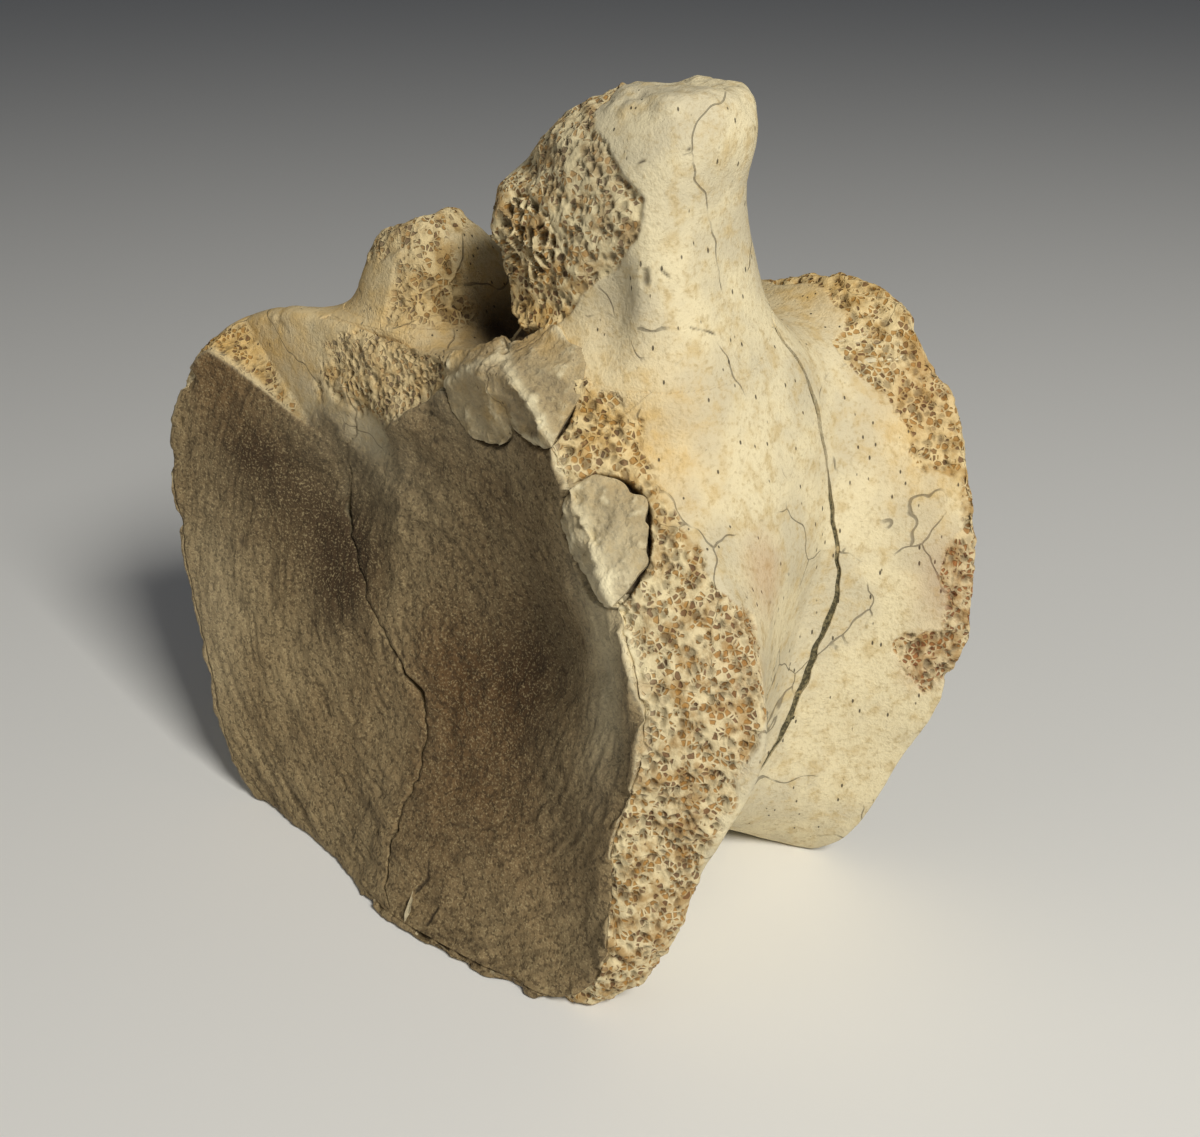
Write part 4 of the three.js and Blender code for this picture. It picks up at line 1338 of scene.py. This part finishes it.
def shared():
    """Reads the sizes set on the scene, and makes the profiles and finishes on the first call."""
    if not SHARED:
        sizes = bpy.context.scene.fossil_sizes
        for label in ("pore", "large_pore", "face_crack", "cross_crack", "plate_gap", "plate_lift"):
            MEASURES[label] = getattr(sizes, label) / METRES
        profiles = Profiles()
        wander = noise(np.array([FAN_ANGLES * 12, 0 * FAN_ANGLES, 0 * FAN_ANGLES]), 1.0, seed=99)
        half = (MEASURES["cross_crack"] * 0.5 * (1 + 0.45 * wander))[:, None]
        SHARED["profiles"] = profiles
        SHARED["face_edge"] = profiles.crossing(profiles.rho - (profiles.edge - 0.8)[:, None])
        SHARED["crack_near"] = profiles.crossing(profiles.behind_crack + half)
        SHARED["crack_far"] = profiles.crossing(profiles.behind_crack - half)
        fold = (profiles.rear_rim * REAR_FOLD_SHARE)[:, None]
        inner = np.where(profiles.past_rear_rim, fold - profiles.rho, -1)
        SHARED["rear_edge"] = profiles.crossing(inner)
        # Chalky and dull, with fine grit that catches a low light.
        SHARED["crust"] = bone_material("dished_face_crust", 0.82, 0.28)
        # Smooth to the hand, a little polished where it was cleaned.
        SHARED["cortex"] = bone_material("weathered_cortical_bone", 0.66, 0.20)
        # Rough and open, so it scatters light and never shines.
        SHARED["spongy"] = bone_material("broken_spongy_bone", 0.88, 0.35)
        SHARED["filling"] = filling_material()
    return SHARED


def steps(count):
    """Number of grid steps: all of them."""
    return count


def lamp(name, place, size, power, colour):
    """A square soft light at a place, turned to the middle of the bone."""
    data = bpy.data.lights.new(name, "AREA")
    data.size = size
    data.energy = power
    data.color = colour
    light = bpy.data.objects.new(name, data)
    light.location = place
    light.rotation_euler = (Vector((0, 0, 0.06)) - Vector(place)).to_track_quat("-Z", "Y").to_euler()
    bpy.context.scene.collection.objects.link(light)


def make_floor():
    """A wide pale floor just under the bone."""
    material = bpy.data.materials.new("matt_pale_floor")
    material.use_nodes = True
    shader = material.node_tree.nodes["Principled BSDF"]
    shader.inputs["Base Color"].default_value = bpy.context.scene.fossil_tones.floor
    shader.inputs["Roughness"].default_value = 0.6
    half, low = 4.0, -0.0002
    mesh = bpy.data.meshes.new("floor")
    corners = [(-half, -half, low), (half, -half, low), (half, half, low), (-half, half, low)]
    mesh.from_pydata(corners, [], [(0, 1, 2, 3)])
    mesh.materials.append(material)
    floor = bpy.data.objects.new("floor", mesh)
    bpy.context.scene.collection.objects.link(floor)


# The camera: a lens for a 36 mm frame, its place in millimetres, and the ways that it looks and calls right.
LENS = 48.0
FRAME_WIDTH = 36.0
CAMERA_AT = (180.36, -193.26, 175.56)
CAMERA_FORWARD = (-0.5833, 0.6952, -0.4201)
CAMERA_RIGHT = (0.7660, 0.6429, 0.0003)


def make_camera():
    """A camera at the photo's angle."""
    camera = bpy.data.objects.new("camera", bpy.data.cameras.new("camera"))
    camera.data.lens = LENS
    camera.data.sensor_width = FRAME_WIDTH
    camera.data.clip_start = 0.01
    camera.data.clip_end = 20.0
    forward, right = np.array(CAMERA_FORWARD), np.array(CAMERA_RIGHT)
    matrix = np.eye(4)
    matrix[:3] = np.column_stack([right, np.cross(right, forward), -forward, np.array(CAMERA_AT) * METRES])
    camera.matrix_world = Matrix(matrix.tolist())
    bpy.context.scene.collection.objects.link(camera)
    bpy.context.scene.camera = camera


def size_prop(name, description, millimetres):
    """A length that a user may change, kept in metres."""
    return bpy.props.FloatProperty(name=name, description=description, default=millimetres * METRES, min=0.0,
                                   precision=5, subtype="DISTANCE", unit="LENGTH")


def tone_prop(name, description, code):
    """A colour that a user may change, from its sRGB hex value."""
    return bpy.props.FloatVectorProperty(name=name, description=description, default=linear(code), size=4,
                                         min=0.0, max=1.0, subtype="COLOR")


class FossilSizes(bpy.types.PropertyGroup):
    """Sizes of the surface detail."""
    pore: size_prop("Pore", "Width of a pore of the broken spongy bone", 1.0)
    large_pore: size_prop("Large pore", "Width of the open pores on the tall pedicle", 2.4)
    face_crack: size_prop("Face crack", "Width of the main crack of the dished face", 0.5)
    cross_crack: size_prop("Cross crack", "Width of the filled crack through the centrum", 0.95)
    plate_gap: size_prop("Plate gap", "Gap round the loose plates of the rim", 0.55)
    plate_lift: size_prop("Plate lift", "Height of the loose plates over the rim", 0.45)


class FossilTones(bpy.types.PropertyGroup):
    """Colours of the bone's finishes."""
    cortex: tone_prop("Cortex", "Clean cortex", "E0D3AE")
    cortex_grey: tone_prop("Cortex grey", "Greyer clouds of the cortex", "CBC0A2")
    cortex_tan: tone_prop("Cortex tan", "Worn cortex", "C4AE7E")
    tan_dark: tone_prop("Dark tan", "Grains in the cortex", "A08C63")
    ochre: tone_prop("Ochre", "Iron stain on the cortex", "DDB56A")
    pit: tone_prop("Pit", "Inside of pores, pricks and hairlines", "30261A")
    brown: tone_prop("Pore brown", "Stained pores", "6A4524")
    ochre_deep: tone_prop("Pore ochre", "Lighter stained pores", "A87A36")
    rust: tone_prop("Rust", "Red-brown stain", "96552A")
    wall: tone_prop("Wall", "Walls of the spongy bone", "DFCFA4")
    wall_tan: tone_prop("Wall tan", "Dirtier walls of the spongy bone", "B09464")
    crust: tone_prop("Crust", "Grey-brown crust of the face", "95825F")
    crust_brown: tone_prop("Crust brown", "Browner clouds of the crust", "7A6545")
    # Umber is the colour of the painted shade in the hollows of the face.
    umber: tone_prop("Umber", "Crust in the hollows", "433320")
    # Dark umber: real dark grains and fibres, and also painted shade in recesses.
    umber_dark: tone_prop("Dark umber", "Dark grains and recesses", "3A2D1D")
    brown_warm: tone_prop("Warm brown", "Warm stains on the face", "6E4B24")
    speck: tone_prop("Speck", "Pale grains of the crust", "B0A078")
    grey: tone_prop("Grey film", "Greenish grey film", "9C957C")
    # Lip: worn lips and pale patches, and also painted light on the right lip of the face and on the saddle.
    lip: tone_prop("Lip", "Freshly worn edges", "E9DDB8")
    filling: tone_prop("Filling", "Filling of the crack", "4A4532")
    filling_light: tone_prop("Filling grains", "Grains of the filling", "7C7354")
    floor: tone_prop("Floor", "The floor under the bone", "EDEDEB")


class VERTEBRA_OT_face(bpy.types.Operator):
    """Build the two lobes of the dished near face, either side of its main crack"""
    bl_idname = "vertebra.face"
    bl_label = "Dished face"

    def execute(self, context):
        common = shared()
        for name, side, columns in (("face_left", -1, 150), ("face_right", 1, 200)):
            make_lobe(name, common["profiles"], side, steps(FACE_ROWS), steps(columns), common["crust"])
        return {"FINISHED"}


class VERTEBRA_OT_near_side(bpy.types.Operator):
    """Build the side of the spool from the face to the crack, with its broken spongy band"""
    bl_idname = "vertebra.near_side"
    bl_label = "Near side"

    def execute(self, context):
        common = shared()
        for name, degrees, columns, finish in (("side_front_right", (FLOOR_ANGLE, 50), 470, "cortex"),
                                               ("side_front_top", (50, 112), 250, "spongy"),
                                               ("side_front_left", (112, FLOOR_ANGLE + 360), 420, "cortex")):
            make_shell(name, common["profiles"], common["face_edge"], common["crack_near"], degrees,
                       steps(columns), steps(FRONT_ROWS), 1.0, common[finish], ["centrum_front"])
        return {"FINISHED"}


class VERTEBRA_OT_far_side(bpy.types.Operator):
    """Build the side of the spool behind the crack, and the dished far end"""
    bl_idname = "vertebra.far_side"
    bl_label = "Far side"

    def execute(self, context):
        common = shared()
        for name, degrees, columns in (("side_rear_right", (FLOOR_ANGLE, 98), 600),
                                       ("side_rear_left", (98, FLOOR_ANGLE + 360), 300)):
            make_shell(name, common["profiles"], common["crack_far"], common["rear_edge"], degrees,
                       steps(columns), steps(REAR_ROWS), 0.0, common["cortex"],
                       ["centrum_rear"])
        make_rear_face(common["profiles"], steps(REAR_FACE_COUNT), common["cortex"])
        return {"FINISHED"}


class VERTEBRA_OT_pedicles(bpy.types.Operator):
    """Build the tall right pedicle and the stub of the left one"""
    bl_idname = "vertebra.pedicles"
    bl_label = "Pedicles"

    def execute(self, context):
        common = shared()
        make_pedicle("tall_pedicle", "pedicle_right", PEDICLE_RIGHT, TABLES_RIGHT, steps(200), steps(420),
                     common["cortex"])
        make_pedicle("pedicle_stub", "pedicle_left", PEDICLE_LEFT, TABLES_LEFT, steps(140), steps(280),
                     common["spongy"])
        return {"FINISHED"}


class VERTEBRA_OT_plates(bpy.types.Operator):
    """Build the two loose plates of the near rim"""
    bl_idname = "vertebra.plates"
    bl_label = "Loose plates"

    def execute(self, context):
        common = shared()
        make_plate("upper_plate", "rim_flake_upper", FLAKE_UPPER, steps(140), common["crust"])
        make_plate("side_plate", "rim_flake_side", FLAKE_SIDE, steps(120), common["crust"])
        return {"FINISHED"}


class VERTEBRA_OT_filling(bpy.types.Operator):
    """Build the dark filling of the crack through the centrum"""
    bl_idname = "vertebra.filling"
    bl_label = "Crack filling"

    def execute(self, context):
        common = shared()
        make_filling(common["profiles"], FILLING_ROWS, steps(FILLING_COLUMNS), common["filling"])
        return {"FINISHED"}


class VERTEBRA_OT_stage(bpy.types.Operator):
    """Build the pale floor, the soft lights and the camera at the photo's angle"""
    bl_idname = "vertebra.stage"
    bl_label = "Stage"

    def execute(self, context):
        scene = context.scene
        scene.view_settings.view_transform = "Standard"
        make_floor()
        world = bpy.data.worlds.new("studio")
        world.use_nodes = True
        world.node_tree.nodes["Background"].inputs["Color"].default_value = (0.75, 0.8, 0.9, 1)
        world.node_tree.nodes["Background"].inputs["Strength"].default_value = 0.07
        scene.world = world
        lamp("key", (0.78, -0.31, 0.74), 0.30, 11.0, (1.0, 0.97, 0.90))
        lamp("fill", (-0.35, -0.80, 0.50), 0.8, 0.9, (1.0, 0.95, 0.88))
        make_camera()
        return {"FINISHED"}


OPERATORS = (VERTEBRA_OT_face, VERTEBRA_OT_near_side, VERTEBRA_OT_far_side, VERTEBRA_OT_pedicles,
             VERTEBRA_OT_plates, VERTEBRA_OT_filling, VERTEBRA_OT_stage)


class VERTEBRA_PT_pieces(bpy.types.Panel):
    """Lists the pieces of the vertebra, with its sizes and colours."""
    bl_idname = "VERTEBRA_PT_pieces"
    bl_label = "Fossil vertebra"
    bl_space_type = "VIEW_3D"
    bl_region_type = "UI"
    bl_category = "Fossil"

    def draw(self, context):
        for piece in OPERATORS:
            self.layout.operator(piece.bl_idname)
        for group in (context.scene.fossil_sizes, context.scene.fossil_tones):
            for label in group.__annotations__:
                self.layout.prop(group, label)


CLASSES = (FossilSizes, FossilTones, *OPERATORS, VERTEBRA_PT_pieces)


def register():
    """Makes the classes known and puts the sizes and colours on the scene."""
    for kind in CLASSES:
        bpy.utils.register_class(kind)
    bpy.types.Scene.fossil_sizes = bpy.props.PointerProperty(type=FossilSizes)
    bpy.types.Scene.fossil_tones = bpy.props.PointerProperty(type=FossilTones)


def unregister():
    """Takes the sizes, colours and classes away again."""
    del bpy.types.Scene.fossil_tones
    del bpy.types.Scene.fossil_sizes
    for kind in reversed(CLASSES):
        bpy.utils.unregister_class(kind)


def main():
    """Builds every piece in order."""
    register()
    bpy.ops.vertebra.face()
    bpy.ops.vertebra.near_side()
    bpy.ops.vertebra.far_side()
    bpy.ops.vertebra.pedicles()
    bpy.ops.vertebra.plates()
    bpy.ops.vertebra.filling()
    bpy.ops.vertebra.stage()


if __name__ == "__main__":
    main()
